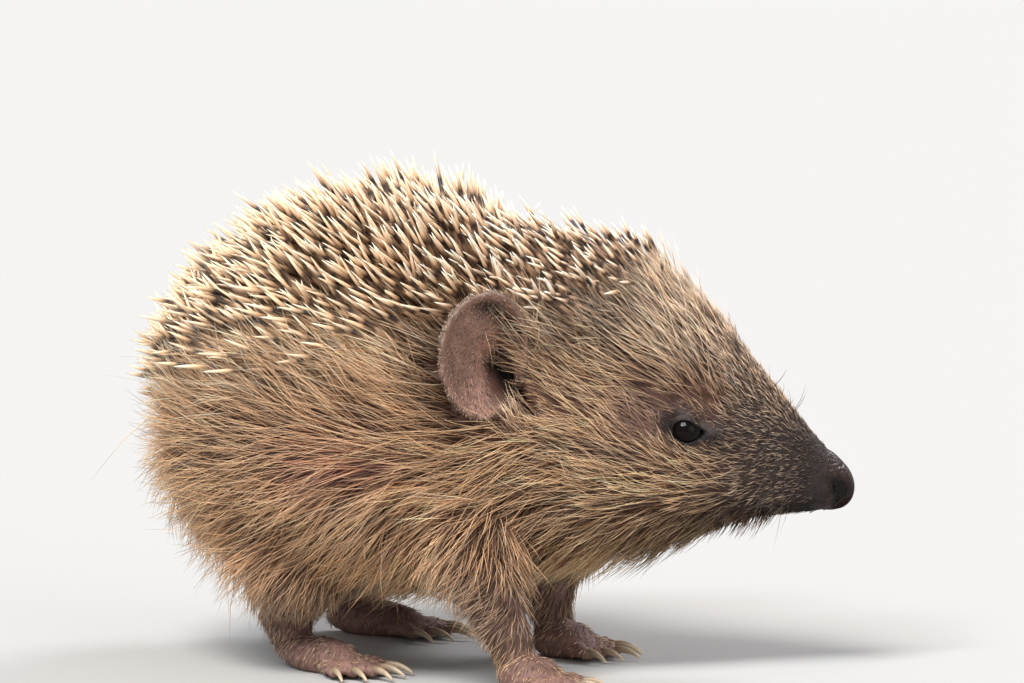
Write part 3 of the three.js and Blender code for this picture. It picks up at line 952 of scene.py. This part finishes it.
def build_eyes():
    """Eyeballs that look a little forward, each with a bulging cornea."""
    material = eye_material()
    for name, side in (("right", -1), ("left", 1)):
        middle = place(EYE_AT[0], side * EYE_AT[1], EYE_AT[2])
        look = unit(sideways(EYE_AT[0]) * side - backward(EYE_AT[0]) * 0.25)
        bm = bmesh.new()
        bmesh.ops.create_uvsphere(bm, u_segments=48, v_segments=32, radius=EYE_RADIUS * MM)
        turn = Vector((0, 0, 1)).rotation_difference(Vector(look)).to_matrix()
        for v in bm.verts:
            lift = CORNEA[0] * MM * math.exp(-((1 - v.co.z / (EYE_RADIUS * MM)) / CORNEA[1]) ** 2)
            v.co = turn @ (v.co + Vector((0, 0, lift))) + Vector(middle * MM)
        mesh = bpy.data.meshes.new(f"eye_{name}_ball")
        bm.to_mesh(mesh)
        bm.free()
        add_piece(f"eye_{name}_ball", mesh, [material], [f"eye_{name}"])


def claw_shape(tip, direction, length):
    """A claw that curves forward and down to a blunt point, and its colours."""
    share = np.linspace(0, 1, 9)
    centres = tip - direction * 0.5 + direction * (share * (length + 0.35))[:, None]
    centres[:, 2] = 1.25 + 0.75 * share * (1 - share) * 2 - 0.75 * share ** 2
    radius = np.interp(share, [0, 0.12, 0.55, 0.9, 1], [0.5, 0.6, 0.46, 0.27, 0.17])
    across = np.cross(direction, [0, 0, 1])
    angle = around(12)[:, None]
    rings = [c + r * (0.82 * np.cos(angle) * across + np.sin(angle) * np.array([0, 0, 1.0]))
             for c, r in zip(centres, radius)]
    tone = tint(np.tile(rgb(112, 88, 70), (len(share), 1)), rgb(206, 186, 156), share)
    return closed_rings(np.array(rings), PAW), [np.repeat(tone, len(angle), axis=0), tone[:1], tone[-1:]]


def build_claws():
    material = painted_material("claw_horn", 1500.0, 0.85, 1.15, 0.38, 0.45, 5000.0, 0.00003)
    for name, leg in LEGS.items():
        claw_length = (HIND_PAW if leg["hind"] else FRONT_PAW)["claw"]
        claws = [claw_shape(tip, direction, claw_length) for _, tip, direction in toe_places(leg)]
        points, faces, _ = join_shapes([shape for shape, _ in claws])
        points[:, 2] = np.maximum(points[:, 2], 0.02)
        mesh = solid_mesh(f"claws_{name}", points, faces)
        paint(mesh, np.concatenate([part for _, tones in claws for part in tones]))
        nodes = [f"claw_{name}_{i + 1}" for i in range(TOES)]
        add_piece(f"claws_{name}", mesh, [material], nodes)


# ---------------------------------------------------------------- strands

PATCH = 0.003  # width of each strand's patch on the unwrap
PIECE_LIMIT = 195000  # triangles


def strand_template(sides, rings):
    """Triangles of one strand and the place of each of their corners on its patch."""
    faces, uvs = [], []
    for r in range(rings - 1):
        low, high = r / (rings - 1), (r + 1) / (rings - 1)
        for i in range(sides):
            left, right = i / (sides + 1), (i + 1) / (sides + 1)
            a, b = r * sides + i, r * sides + (i + 1) % sides
            if r == rings - 2:
                faces.append((a, b, sides * (rings - 1)))
                uvs.append(((left, low), (right, low), ((left + right) / 2, high)))
            else:
                faces += [(a, b, b + sides), (a, b + sides, a + sides)]
                uvs += [((left, low), (right, low), (right, high)),
                        ((left, low), (right, high), (left, high))]
    cap = sides / (sides + 1)
    for i in range(1, sides - 1):
        faces.append((0, i + 1, i))
        uvs.append(((cap, 0.0), (1.0, 0.1 * i), (cap, 0.1 * i)))
    return np.array(faces), np.array(uvs)


def strand_mesh(name, centres, radii, colours, lateral, uv, sides):
    """Solid strands: centres and colours for each ring, ending in a point."""
    count, rings = centres.shape[:2]
    along = unit(np.gradient(centres, axis=1))
    u = unit(lateral[:, None] - along * (lateral[:, None] * along).sum(-1, keepdims=True))
    v = np.cross(along, u)
    angle = around(sides)[:, None]
    ring = np.cos(angle) * u[:, :-1, None] + np.sin(angle) * v[:, :-1, None]
    body = (centres[:, :-1, None] + radii[:, :-1, None, None] * ring).reshape(count, -1, 3)
    points = np.concatenate([body, centres[:, -1:]], axis=1)
    shades = np.concatenate([np.repeat(colours[:, :-1], sides, axis=1), colours[:, -1:]], axis=1)
    faces, face_uv = strand_template(sides, rings)
    corners = faces[None] + (np.arange(count) * points.shape[1])[:, None, None]
    patch = uv[:, None, None] + (face_uv[None] - 0.5) * PATCH
    return triangle_mesh(name, points.reshape(-1, 3), corners.reshape(-1), patch, shades.reshape(-1, 3))


def triangle_mesh(name, points, corners, uv, colours):
    mesh = bpy.data.meshes.new(name)
    mesh.vertices.add(len(points))
    mesh.vertices.foreach_set("co", (points * MM).ravel())
    mesh.loops.add(len(corners))
    mesh.loops.foreach_set("vertex_index", corners.astype(np.int32))
    mesh.polygons.add(len(corners) // 3)
    mesh.polygons.foreach_set("loop_start", np.arange(0, len(corners), 3, dtype=np.int32))
    mesh.update(calc_edges=True)
    mesh.uv_layers.new(name="OFBake").data.foreach_set("uv", uv.ravel())
    paint(mesh, colours)
    return mesh


def add_strands(name, material, sides, strands):
    """Strands as pieces of fewer than 200,000 triangles, each a stretch of the body."""
    *shapes, s = strands
    order = np.argsort(s, kind="stable")
    each = sides * (2 * strands[0].shape[1] - 3) + sides - 2
    parts = math.ceil(len(order) * each / PIECE_LIMIT)
    for i in range(parts):
        part = order[i * len(order) // parts:(i + 1) * len(order) // parts]
        piece = name if parts == 1 else f"{name}_{i + 1}"
        mesh = strand_mesh(piece, *(values[part] for values in shapes), sides)
        add_piece(piece, mesh, [material])


# ---------------------------------------------------------------- where the coat grows

class Ground:
    """The skin's triangles, to scatter roots over."""

    def __init__(self, mesh, labels):
        mesh.calc_loop_triangles()
        self.triangles = read(mesh.loop_triangles, "vertices", 3, int)
        self.points, self.normals, self.labels = vertices_of(mesh), normals_of(mesh), labels
        a, b, c = (self.points[self.triangles[:, i]] for i in range(3))
        self.areas = np.linalg.norm(np.cross(b - a, c - a), axis=1) / 2
        first = self.triangles[:, 0]
        self.middles = Spots((a + b + c) / 3, self.normals[first], labels[first])

    def scatter(self, density, rng):
        """Random roots, density of them to the square millimetre of each triangle."""
        wanted = density * self.areas
        count = np.floor(wanted + rng.random(len(wanted))).astype(int)
        chosen = np.repeat(np.arange(len(wanted)), count)
        r1, r2 = np.sqrt(rng.random(len(chosen))), rng.random(len(chosen))
        share = np.stack([1 - r1, r1 * (1 - r2), r1 * r2], axis=1)[:, :, None]
        corner = self.triangles[chosen]
        points = (self.points[corner] * share).sum(axis=1)
        normals = unit((self.normals[corner] * share).sum(axis=1))
        return Spots(points, normals, self.labels[corner[:, 0]])

    def scatter_on_body(self, density, rng):
        return self.scatter(np.where(self.middles.labels == BODY, density, 0.0), rng)


def thin(points, gap):
    """The indices of points that keep at least this distance from those kept before them."""
    cells = {}
    kept = []
    keys = np.floor(points / gap).astype(int)
    for i, key in enumerate(map(tuple, keys)):
        near = [j for dx in (-1, 0, 1) for dy in (-1, 0, 1) for dz in (-1, 0, 1)
                for j in cells.get((key[0] + dx, key[1] + dy, key[2] + dz), ())]
        if all(((points[i] - points[j]) ** 2).sum() > gap * gap for j in near):
            cells.setdefault(key, []).append(i)
            kept.append(i)
    return np.array(kept)


def bend_path(roots, flat, length, lift, rings):
    """Centres of rings along strands that leave the skin at one lift and end at another."""
    share = np.linspace(0, 1, rings)
    centres = np.empty((len(length), rings, 3))
    centres[:, 0] = roots.points - roots.normals * np.minimum(0.35, 0.08 * length)[:, None]
    for k in range(1, rings):
        angle = np.radians(mix(lift[0], lift[1], (share[k] + share[k - 1]) / 2))[:, None]
        way = flat * np.cos(angle) + roots.normals * np.sin(angle)
        centres[:, k] = centres[:, k - 1] + way * (length * (share[k] - share[k - 1]))[:, None]
    return centres


def through_ear(centres):
    """Which strands pass through an ear's leaf."""
    hit = np.zeros(len(centres), bool)
    fine = np.concatenate([mix(centres[:, :-1], centres[:, 1:], t) for t in (0.0, 0.33, 0.67)], axis=1)
    for side in (-1, 1):
        _, y, _, share = on_ear(fine.reshape(-1, 3), side)
        inside = (share < 1.08) & (np.abs(y - EAR_CUP * (share ** 2 - 1) + 0.15) < 2.35)
        hit |= inside.reshape(len(centres), -1).any(axis=1)
    return hit


# ---------------------------------------------------------------- spines

SPINE_SEED = 5
SPINE_DENSITY = 4.0  # roots to the square millimetre, before those too close are dropped
SPINE_GAP = 0.88  # least distance between two roots
SPINE_SIDES = 5
SPINE_LENGTHS = (12.8, 8.6)  # on the trunk and over the brow
SPINE_RADIUS = 0.335
SPINE_SHARE = np.array([0, 0.16, 0.50, 0.56, 0.68, 0.73, 0.83, 0.92, 1.0])
SPINE_GIRTH = np.array([0.5, 0.85, 0.98, 1.0, 1.02, 0.96, 0.72, 0.38, 0.0])
SPINE_TONES = np.array([rgb(92, 72, 58), rgb(152, 119, 92), rgb(190, 155, 121), rgb(58, 43, 35),
                        rgb(48, 35, 29), rgb(196, 156, 116), rgb(238, 206, 168),
                        rgb(243, 221, 191), rgb(248, 234, 212)])


def spine_roots(ground, rng):
    roots = ground.scatter_on_body(SPINE_DENSITY, rng)
    trunk = smooth(42, 52, roots.s)
    ragged = 3.2 * trunk * wobble(roots.points, 7.0, 31)
    ragged += np.clip(rng.normal(0, 2.5, len(roots.s)), mix(1.5, -1.8, trunk), 6)
    roots = roots.take((above_edge(roots) > ragged) & (roots.s > 26))
    roots = roots.take(rng.permutation(len(roots.s)))
    return roots.take(thin(roots.points, SPINE_GAP))


def spine_lift(roots, crown, front, rng):
    """How far each spine stands off the skin, in degrees, a few of them further than the rest."""
    s, phi, count = roots.s, roots.phi, len(roots.s)
    lift = mix(22.0, 38.0, crown) - 8 * smooth(84, 100, s) - 4 * front + rng.normal(0, 8, count)
    side = smooth(30, 48, phi) * smooth(84, 66, phi)
    lift += 20 * smooth(72, 58, s) * smooth(40, 48, s) * side
    lift -= 8 * bell((s, 46, 7)) * smooth(64, 84, phi)
    lift += 9 * smooth(46, 39, s) * smooth(28, 33, s) * smooth(75, 58, phi)
    return np.clip(lift, 9, 66) + 14 * (rng.random(count) < 0.03)


def spine_shapes(roots, rng):
    count = len(roots.s)
    front, crown = smooth(46, 29, roots.s), smooth(15, 75, roots.phi)
    down = mix(-0.42, 0.0, crown) * smooth(104, 84, roots.s) - 0.62 * front * (1 - crown)
    flat, lateral = roots.flow(down, rng.normal(0, 0.32, count))
    length = mix(*SPINE_LENGTHS, smooth(56, 30, roots.s)) * rng.normal(1, 0.08, count)
    lift = spine_lift(roots, crown, front, rng)
    ends = bend_path(roots, flat, length, (lift + 5, lift - 5), 2)
    sag = (SPINE_SHARE * (1 - SPINE_SHARE))[None, :, None] * roots.normals[:, None] * 0.55
    centres = mix(ends[:, :1], ends[:, 1:], SPINE_SHARE[None, :, None]) + sag
    radius = SPINE_RADIUS * mix(1.0, 0.78, front) * rng.normal(1, 0.08, count)
    return centres, radius[:, None] * SPINE_GIRTH, lateral


def spine_colours(s, rng):
    """Banded colours, the dark band a little higher or lower on each spine, paler towards the head, and
    darker towards the rump as painted shade.
    """
    count = len(s)
    at = np.clip(SPINE_SHARE + rng.normal(0, 0.025, (count, 1)), 0, 1)
    tones = np.stack([np.interp(at, SPINE_SHARE, SPINE_TONES[:, k]) for k in range(3)], axis=-1)
    tones = tones * (1 + smooth(66, 38, s)[:, None, None] * np.array([0.15, 0.19, 0.34]))
    # Painted light and shade: a little lighter over the front and middle, darker towards the rump.
    shade = rng.normal(1, 0.10, (count, 1, 1)) * (1.08 - 0.16 * smooth(70, 92, s))[:, None, None]
    warm = rng.normal(0, 0.03, (count, 1, 1)) * np.array([1.0, 0.0, -1.0])
    return np.clip(tones * (shade + warm), 0, 1)


def build_spines(ground):
    rng = np.random.default_rng(SPINE_SEED)
    roots = spine_roots(ground, rng)
    centres, radii, lateral = spine_shapes(roots, rng)
    strands = (centres, radii, spine_colours(roots.s, rng), lateral, unwrap_place(roots), roots.s)
    clear = ~through_ear(centres)
    material = painted_material("spine_horn", 900.0, 0.92, 1.08, 0.36, 0.5)
    add_strands("spines", material, SPINE_SIDES, [part[clear] for part in strands])


# ---------------------------------------------------------------- fur

HAIR_RINGS = 4  # the last of them a point
HAIR_SIDES = 3
FUR_SEED = 9
TUFT = 6  # hairs
UNDERFUR = 0.62  # share of a tuft's hairs
LOOSE_FROM = (50, 66)  # behind the nose, where the coat turns from neat to loose
WHISKER_DENSITY = 2.0  # roots to the square millimetre, of which a few are chosen
SHORT = 3.2  # hair shorter than this grows one by one
HAIR_FLOOR = 0.2  # the lowest that a hair's middle may come
LIMB_HAIR = (0.105, 20.0, 6.0, 6.0)  # thickness, lifts and fall
TAIL_HAIR = (2.6, 0.11, 18.0, 5.0, 1.6)  # length, thickness, lifts and fall
EAR_HAIR = ((0.8, 0.07, 34.0, 20.0, 0.0), (2.7, 0.09, 26.0, 5.0, -0.8))  # the leaf's and its margin's


def fur_density(at):
    """Hairs to the square millimetre."""
    body, paw = at.labels == BODY, at.labels == PAW
    density = (region_weights(at) @ REGION_NUMBERS)[:, DENSITY]
    density = density * mix(1.0, 0.12, smooth(0, 9, above_edge(at))) * smooth(3.2, 7.0, at.s) ** 0.7
    density *= np.where(np.abs(at.out) > 4, smooth(1.12, 1.4, eye_distance(at.s, at.up)), 1)
    density *= 1 - 0.7 * bare_corner(at)
    kinds = [body, is_leg(at.labels), paw, at.labels == TAIL]
    density = np.select(kinds, [density, 8.0, 3.5 * smooth(0.8, 2.2, at.up), 2.0], 0.0)
    density *= 1 - np.clip(1.6 * ear_slit(at.s, at.out, at.up, 1.7), 0, 1)
    ear = mix(13.0, 4.0, ear_margin(at)) * (1 - ear_opening(at))
    return np.where(at.labels == EAR, ear, density)


def limb_share(at):
    """How much a root belongs to a leg rather than to the body's coat."""
    hind = (at.labels == HIND_LEG) * smooth(20, 11, at.up)
    front = (at.labels == FRONT_LEG) * smooth(27, 10, at.up)
    return hind + front + (at.labels == PAW)


def blend_numbers(table, values, amount):
    """Draws the hair's numbers, from its length on, towards these values."""
    for column, value in enumerate(values, LONG):
        table[:, column] = mix(table[:, column], value, amount)


def fur_numbers(at):
    """Density, length, thickness, lifts and fall of the hair at each root."""
    s, up, body = at.s, at.up, at.labels == BODY
    table = region_weights(at) @ REGION_NUMBERS
    blend_numbers(table, (mix(4.4, 1.5, smooth(12, 3, up)), *LIMB_HAIR), limb_share(at))
    margin = ear_margin(at)
    blend_numbers(table, [mix(leaf, edge, margin) for leaf, edge in zip(*EAR_HAIR)], at.labels == EAR)
    blend_numbers(table, TAIL_HAIR, at.labels == TAIL)
    fall, long = table[:, FALL], table[:, LONG]
    fall = np.where(is_leg(at.labels), mix(1.5, fall, smooth(14, 24, up)), fall)
    rising = 0.85 * smooth(-8, 18, at.phi) * smooth(44, 56, s) + 0.6 * bell((s, 43, 5.0)) * smooth(35, 39, up)
    table[:, FALL] = fall - (rising + 1.2 * bell((s, 20.2, 2.8), (up, 40.2, 2.2))) * body
    long = mix(long, 1.3, 0.85 * np.clip(streak(at) * 1.5, 0, 1) * body)
    long = np.where(body, long * mix(0.4, 1.0, smooth(3.4, 9.0, s)), long)
    long *= 1 - 0.35 * bell((above_edge(at), -2, 5)) * smooth(48, 43, s) * body
    before_eye = (s < EYE_AT[0] + 1) & (np.abs(up - EYE_AT[2]) < 4) & (np.abs(at.out) > 4)
    room = 0.25 + 1.3 * np.maximum(eye_distance(s, up) - 1.35, 0)
    long = np.where(before_eye & body, np.minimum(long, room), long)
    level = bell((s, 40.5, 3.5)) * body * (np.abs(at.out) > 6)
    above = level * smooth(45, 50, up)
    long += 2.5 * above - 1.4 * level * smooth(34, 38, up) * smooth(48, 44, up)
    ahead_of_slit = ear_slit(s + 2.4, at.out, up, 2.3) * smooth(45, 42, up) * body
    table[:, LONG] = mix(long, 1.6, ahead_of_slit)
    table[:, LIFT_ROOT] += 10 * above
    table[:, LIFT_TIP] += 8 * above
    return table


def fur_colours(at):
    """The hair's colours at its root and at its tip."""
    _, low, high = markings(at)
    limb = limb_share(at)
    low = tint(low, rgb(104, 78, 68), limb)
    high = tint(high, rgb(196, 166, 140), limb * smooth(2, 10, at.up))
    ear = (at.labels == EAR) * (1 - ear_margin(at))
    base = ear_colour(at)
    return tint(low, base * 0.66, ear), tint(high, mix(base, rgb(236, 212, 190), 0.72), ear)


def under_ear(at):
    """Which roots lie below an ear's cup, where hair would come through it."""
    hidden = np.zeros(len(at.s), bool)
    for side in (-1, 1):
        x, y, _, share = on_ear(at.points, side)
        hidden |= (share < 0.92) & (x < 4.0) & (y > EAR_CUP * (share ** 2 - 1) - 0.4) & (y < 3)
        hidden |= (share < 0.95) & (x > -1.5) & (y > -2.0) & (y < 9)
    return hidden & (at.labels != EAR)


def behind_ear(points):
    """Which points lie behind the front half of an ear's leaf."""
    behind = np.zeros(len(points), bool)
    for side in (-1, 1):
        x, y, _, share = on_ear(points, side)
        behind |= (share < 1.1) & (x > -2.0) & (y < -1.0) & (y > -9.5)
    return behind


def hair_flow(roots, fall, swing):
    """The way hair lies: with the coat, but outward to the rim on the ears."""
    flat, _ = roots.flow(fall, swing)
    margin = ear_margin(roots)[:, None]
    for side in (-1, 1):
        mine = (roots.labels == EAR) & (np.sign(roots.out) == side)
        outward = roots.points - ear_frame(side)[1]
        outward = outward - roots.normals * (outward * roots.normals).sum(axis=1, keepdims=True)
        flat = np.where(mine[:, None], unit(mix(unit(outward), flat, margin)), flat)
    return flat, np.cross(roots.normals, flat)


def pale_late(at):
    """How late along the hair its pale tip begins, as a power of the share of its length."""
    temple = smooth(52, 45, at.s) * smooth(24, 29, at.s) * smooth(5, 25, at.phi)
    return (mix(0.55, 0.95, temple) + 0.5 * brow_band(at))[:, None]


def hair_stray(tufts, guard, reach, length, rng):
    """How far each hair's tip strays sideways, a few of the long ones much further."""
    loose = smooth(*LOOSE_FROM, tufts.s)
    stray = rng.normal(0, 1, len(reach)) * np.where(guard, 0.14 + 0.05 * loose, 0.06) * reach
    stray *= 1 + 2 * ((rng.random(len(reach)) < 0.05) & (length > 6))
    return stray * np.where(tufts.labels == EAR, 0.4, 1.0)


def hair_tones(low, high, rise, shade, rng):
    """Colours along each hair, lighter or darker, warmer or cooler by chance."""
    warm = rng.normal(0, 0.06, (len(shade), 1)) * np.array([1.0, 0.0, -1.2])
    tone = shade * rng.normal(1, 0.25, (len(shade), 1)) + warm
    return np.clip(mix(low[:, None], high[:, None], rise[:, :, None]) * tone[:, None], 0, 1)


def tuft_strands(tufts, numbers, low, high, rng, size, rings=HAIR_RINGS):
    """The hairs of tufts: most of them short dark underfur, the rest long pale guard hairs."""
    count = len(tufts.s)
    loose = smooth(*LOOSE_FROM, tufts.s)
    swing = rng.normal(0, 0.15, count) * (1 + 0.4 * loose) + 0.2 * wobble(tufts.points, 9.0, 8)
    flat, lateral = hair_flow(tufts, numbers[:, FALL], swing)
    length = numbers[:, LONG] * rng.normal(1, 0.12, count)
    lift_root = numbers[:, LIFT_ROOT] + rng.normal(0, 6, count)
    lift_tip = numbers[:, LIFT_TIP] + rng.normal(0, 4, count)
    shade = rng.normal(1, np.where(tufts.labels == EAR, 0.46, 0.10))[:, None]
    uv = unwrap_place(tufts)
    share = np.linspace(0, 1, rings)
    girth = np.interp(share, [0, 0.3, 0.7, 1], [0.9, 1.0, 0.8, 0.0])
    late = pale_late(tufts)
    groups = []
    for k in range(size):
        guard = (rng.random(count) + k) / size > UNDERFUR
        radius = np.clip(0.18 * length, 0.4, 1.5) * np.sqrt(rng.random(count)) * (size > 1)
        angle = rng.uniform(0, 2 * math.pi, count)
        offset = (np.cos(angle) * radius)[:, None] * flat + (np.sin(angle) * radius)[:, None] * lateral
        reach = length * np.where(guard, rng.uniform(0.85, 1.15, count), rng.uniform(0.5, 0.75, count))
        raised = lift_root + rng.normal(0, 5, count) + 4 * guard
        centres = bend_path(tufts, flat, reach, (raised, lift_tip), rings)
        keep = 1 - np.where(guard, 0.14, 0.42)[:, None] * share ** 1.3
        centres += offset[:, None] * keep[:, :, None]
        stray = hair_stray(tufts, guard, reach, length, rng)
        centres += lateral[:, None] * (stray[:, None] * share ** 1.5)[:, :, None]
        width = numbers[:, THICK] * rng.uniform(0.8, 1.2, count) * np.where(guard, 1.05, 1.0)
        rise = np.where(guard[:, None], share ** late, 0.26 * share)
        colours = hair_tones(low, high, rise, shade, rng)
        groups.append((centres, 0.5 * width[:, None] * girth, colours, lateral, uv, tufts.s))
    return join_strands(groups)


def join_strands(groups):
    return [np.concatenate(parts) for parts in zip(*groups)]


def coat_tufts(ground, rng, short):
    """The coat itself: its long hair in tufts, or its short hair one by one."""
    is_short = fur_numbers(ground.middles)[:, LONG] < SHORT
    size, rings = (1, 3) if short else (TUFT, HAIR_RINGS)
    tufts = ground.scatter(fur_density(ground.middles) * (is_short == short) / size, rng)
    tufts = tufts.take(~under_ear(tufts))
    low, high = fur_colours(tufts)
    strands = tuft_strands(tufts, fur_numbers(tufts), low, high, rng, size, rings)
    blocked = through_ear(strands[0]) & behind_ear(strands[0][:, 0])
    blocked &= np.tile(tufts.labels, size) != EAR
    return [part[~blocked] for part in strands]


def on_margin(at):
    """The lower edge of the spines, where long pale hairs cross them."""
    gap = above_edge(at)
    return smooth(-15, -7, gap) * smooth(5, 0, gap) * smooth(34, 42, at.s)


def on_brow(at):
    """The brow, where bristles take over from the spines."""
    gap = above_edge(at)
    return smooth(23, 27, at.s) * smooth(38, 31, at.s) * smooth(-26, -8, gap) * smooth(16, 4, gap)


def before_ear(at):
    """The head just in front of the ears, whose hair runs back over their edge."""
    mask = np.zeros(len(at.s))
    for side in (-1, 1):
        x, y, z, share = on_ear(at.points, side)
        band = smooth(0.94, 1.02, share) * smooth(1.7, 1.35, share) * smooth(0.0, 2.0, x)
        mask = np.maximum(mask, band * smooth(-3.0, 0.0, z) * (np.abs(y) < 10))
    return mask


def below_slit(at):
    """The lower end of the gap in front of the ears, from which a fan of hair rises."""
    across = smooth(2.4, 1.2, np.abs(at.s - 45.0)) * (np.abs(at.out) > 8)
    return across * smooth(33.8, 34.6, at.up) * smooth(38.0, 37.0, at.up)


def on_chin(at):
    """The lower edge of the muzzle, where bristles hang."""
    return smooth(8, 11, at.s) * smooth(30, 22, at.s) * smooth(-35, -60, at.phi)


# Extra hair: where it grows, the numbers of its regions' rows, and its colours at the root and the tip
FRINGES = (
    (on_margin, (2.2, 11.5, 0.12, 38, 16, -0.45), rgb(118, 90, 74), rgb(250, 224, 188)),
    (on_brow, (1.2, 7.5, 0.115, 48, 28, -0.1), rgb(58, 43, 35), rgb(250, 220, 182)),
    (before_ear, (6.0, 7.0, 0.10, 56, 12, -0.8), rgb(88, 64, 52), rgb(250, 218, 184)),
    (below_slit, (4.0, 7.0, 0.09, 50, 24, -0.9), rgb(120, 88, 70), rgb(248, 212, 176)),
    # The chin's bristles are dark partly in their own colour and partly as painted shade under the muzzle.
    (on_chin, (3.6, 3.5, 0.085, 58, 40, 0.3), rgb(40, 29, 23), rgb(110, 79, 52)),
)


def fringe_tufts(ground, rng, mask_of, numbers, low, high):
    """Extra hair of one kind where mask_of gives more than chance."""
    tufts = ground.scatter_on_body(numbers[DENSITY] / TUFT, rng)
    tufts = tufts.take(rng.random(len(tufts.s)) < mask_of(tufts))
    tufts = tufts.take(~under_ear(tufts))
    table, low, high = (np.tile(np.array(row, float), (len(tufts.s), 1)) for row in (numbers, low, high))
    return tuft_strands(tufts, table, low, high, rng, TUFT)


def whisker_strands(ground, rng):
    """Dark whiskers that curve back from the sides of the muzzle, the bridge, and over the eyes."""
    roots = ground.scatter_on_body(WHISKER_DENSITY, rng)
    s, phi = roots.s, roots.phi
    muzzle = (s > 7) & (s < 14) & (phi < 42) & (phi > -20)
    brow = (np.hypot(s - 20.5, roots.up - 40.5) < 1.4) & (np.abs(roots.out) > 3)
    bridge = (s > 8) & (s < 12) & (phi > 42) & (phi < 72)
    chosen = [np.flatnonzero(muzzle)[::5], np.flatnonzero(brow)[::3], np.flatnonzero(bridge)[::8]]
    roots = roots.take(np.concatenate(chosen))
    count = len(roots.s)
    high = smooth(38, 46, roots.phi)
    flat, lateral = roots.flow(0.1, rng.normal(0, 0.35, count) * (1 - high) - 0.5 * np.sign(roots.out))
    length = rng.uniform(8, 14, count)
    share = np.linspace(0, 1, 9)
    centres = bend_path(roots, flat, length, (66 + rng.normal(0, 8, count), mix(18.0, 44.0, high)), 9)
    radii = 0.055 * np.interp(share, [0, 0.5, 1], [1, 0.8, 0])[None] * rng.uniform(0.8, 1.1, (count, 1))
    tone = mix(rgb(52, 40, 34), rgb(118, 94, 76), share[:, None] ** 2)
    return centres, radii, np.tile(tone, (count, 1, 1)), lateral, unwrap_place(roots), roots.s


def over_eye(centres, s):
    """Which strands pass in front of an eye's opening."""
    near = np.flatnonzero(np.abs(s - EYE_AT[0]) < 9)
    part = centres[near]
    fine = np.concatenate([mix(part[:, :-1], part[:, 1:], t) for t in (0.0, 0.5, 1.0)], axis=1)
    at, out, up = locate(fine.reshape(-1, 3))
    inside = (eye_distance(at, up) < 0.96) & (np.abs(out) > 6)
    hit = np.zeros(len(centres), bool)
    hit[near] = inside.reshape(len(near), -1).any(axis=1)
    return hit


def add_hair(name, strands, material):
    clear = ~over_eye(strands[0], strands[-1])
    strands = [part[clear] for part in strands]
    strands[0][..., 2] = np.maximum(strands[0][..., 2], HAIR_FLOOR)
    add_strands(name, material, HAIR_SIDES, strands)


def build_fur(ground):
    rng = np.random.default_rng(FUR_SEED)
    layers = [coat_tufts(ground, rng, False)] + [fringe_tufts(ground, rng, *row) for row in FRINGES]
    material = painted_material("fur", 1200.0, 0.9, 1.1, 0.5, 0.35)
    add_hair("fur", join_strands(layers), material)
    add_hair("short_fur", coat_tufts(ground, rng, True), material)
    add_hair("whiskers", whisker_strands(ground, rng), material)


# ---------------------------------------------------------------- floor, light and camera

VIEW_AZIMUTH = math.radians(-50)
VIEW_RISE = math.radians(6)
VIEW_DISTANCE = 1.2
VIEW_LENS = 295.0
NOSE_IN_FRAME = (0.0487, -0.0212)  # metres right of the frame's middle and above it

# Each light's direction right, up and towards the camera, its strength, its spread in degrees, its colour
LIGHTS = {
    "key": ((-0.30, 0.9, 0.6), 3.2, 24, (1.0, 0.97, 0.925)),
    "fill": ((0.8, 0.35, 0.8), 0.7, 50, (0.95, 0.97, 1.0)),
    "rim": ((0.55, 0.8, -0.5), 1.6, 22, (0.93, 0.95, 1.0)),
    "sparkle": ((-0.55, 0.72, 0.7), 1.1, 10, (0.8, 0.9, 1.0)),
}


def build_stage():
    bpy.ops.mesh.primitive_plane_add(size=4.0)
    floor = bpy.context.object
    floor.name = "floor"
    material, _ = new_material("floor", Base_Color=(0.46, 0.455, 0.445, 1), Roughness=0.9)
    floor.data.materials.append(material)


def view_axes():
    """The camera's right, up and backward directions."""
    a, e = VIEW_AZIMUTH, VIEW_RISE
    back = np.array([math.sin(a) * math.cos(e), -math.cos(a) * math.cos(e), math.sin(e)])
    right = unit(np.cross([0, 0, 1.0], back))
    return np.array([right, np.cross(back, right), back])


def build_lights():
    for name, (direction, strength, spread, colour) in LIGHTS.items():
        data = bpy.data.lights.new(name, "SUN")
        data.energy = strength
        data.angle = math.radians(spread)
        data.color = colour
        lamp = link_object(name, data)
        lamp.rotation_euler = Vector(direction @ view_axes()).to_track_quat("Z", "Y").to_euler()
    world = bpy.data.worlds.new("studio")
    bpy.context.scene.world = world
    world.use_nodes = True
    world.node_tree.nodes["Background"].inputs["Color"].default_value = (1.0, 0.97, 0.97, 1)
    world.node_tree.nodes["Background"].inputs["Strength"].default_value = 0.5


def build_camera():
    right, up, back = view_axes()
    aim = place(0.0, 0.0, 25.5) * MM - right * NOSE_IN_FRAME[0] - up * NOSE_IN_FRAME[1]
    data = bpy.data.cameras.new("camera")
    data.sensor_width = 36.0
    data.lens = VIEW_LENS
    data.clip_start = 0.01
    camera = link_object("camera", data)
    camera.location = aim + back * VIEW_DISTANCE
    camera.rotation_euler = Vector(-back).to_track_quat("-Z", "Y").to_euler()
    bpy.context.scene.camera = camera


skin, skin_labels = build_skin()
build_eyes()
build_claws()
ground = Ground(skin, skin_labels)
build_spines(ground)
build_fur(ground)
build_stage()
build_lights()
build_camera()
bpy.context.scene.view_settings.view_transform = "Standard"
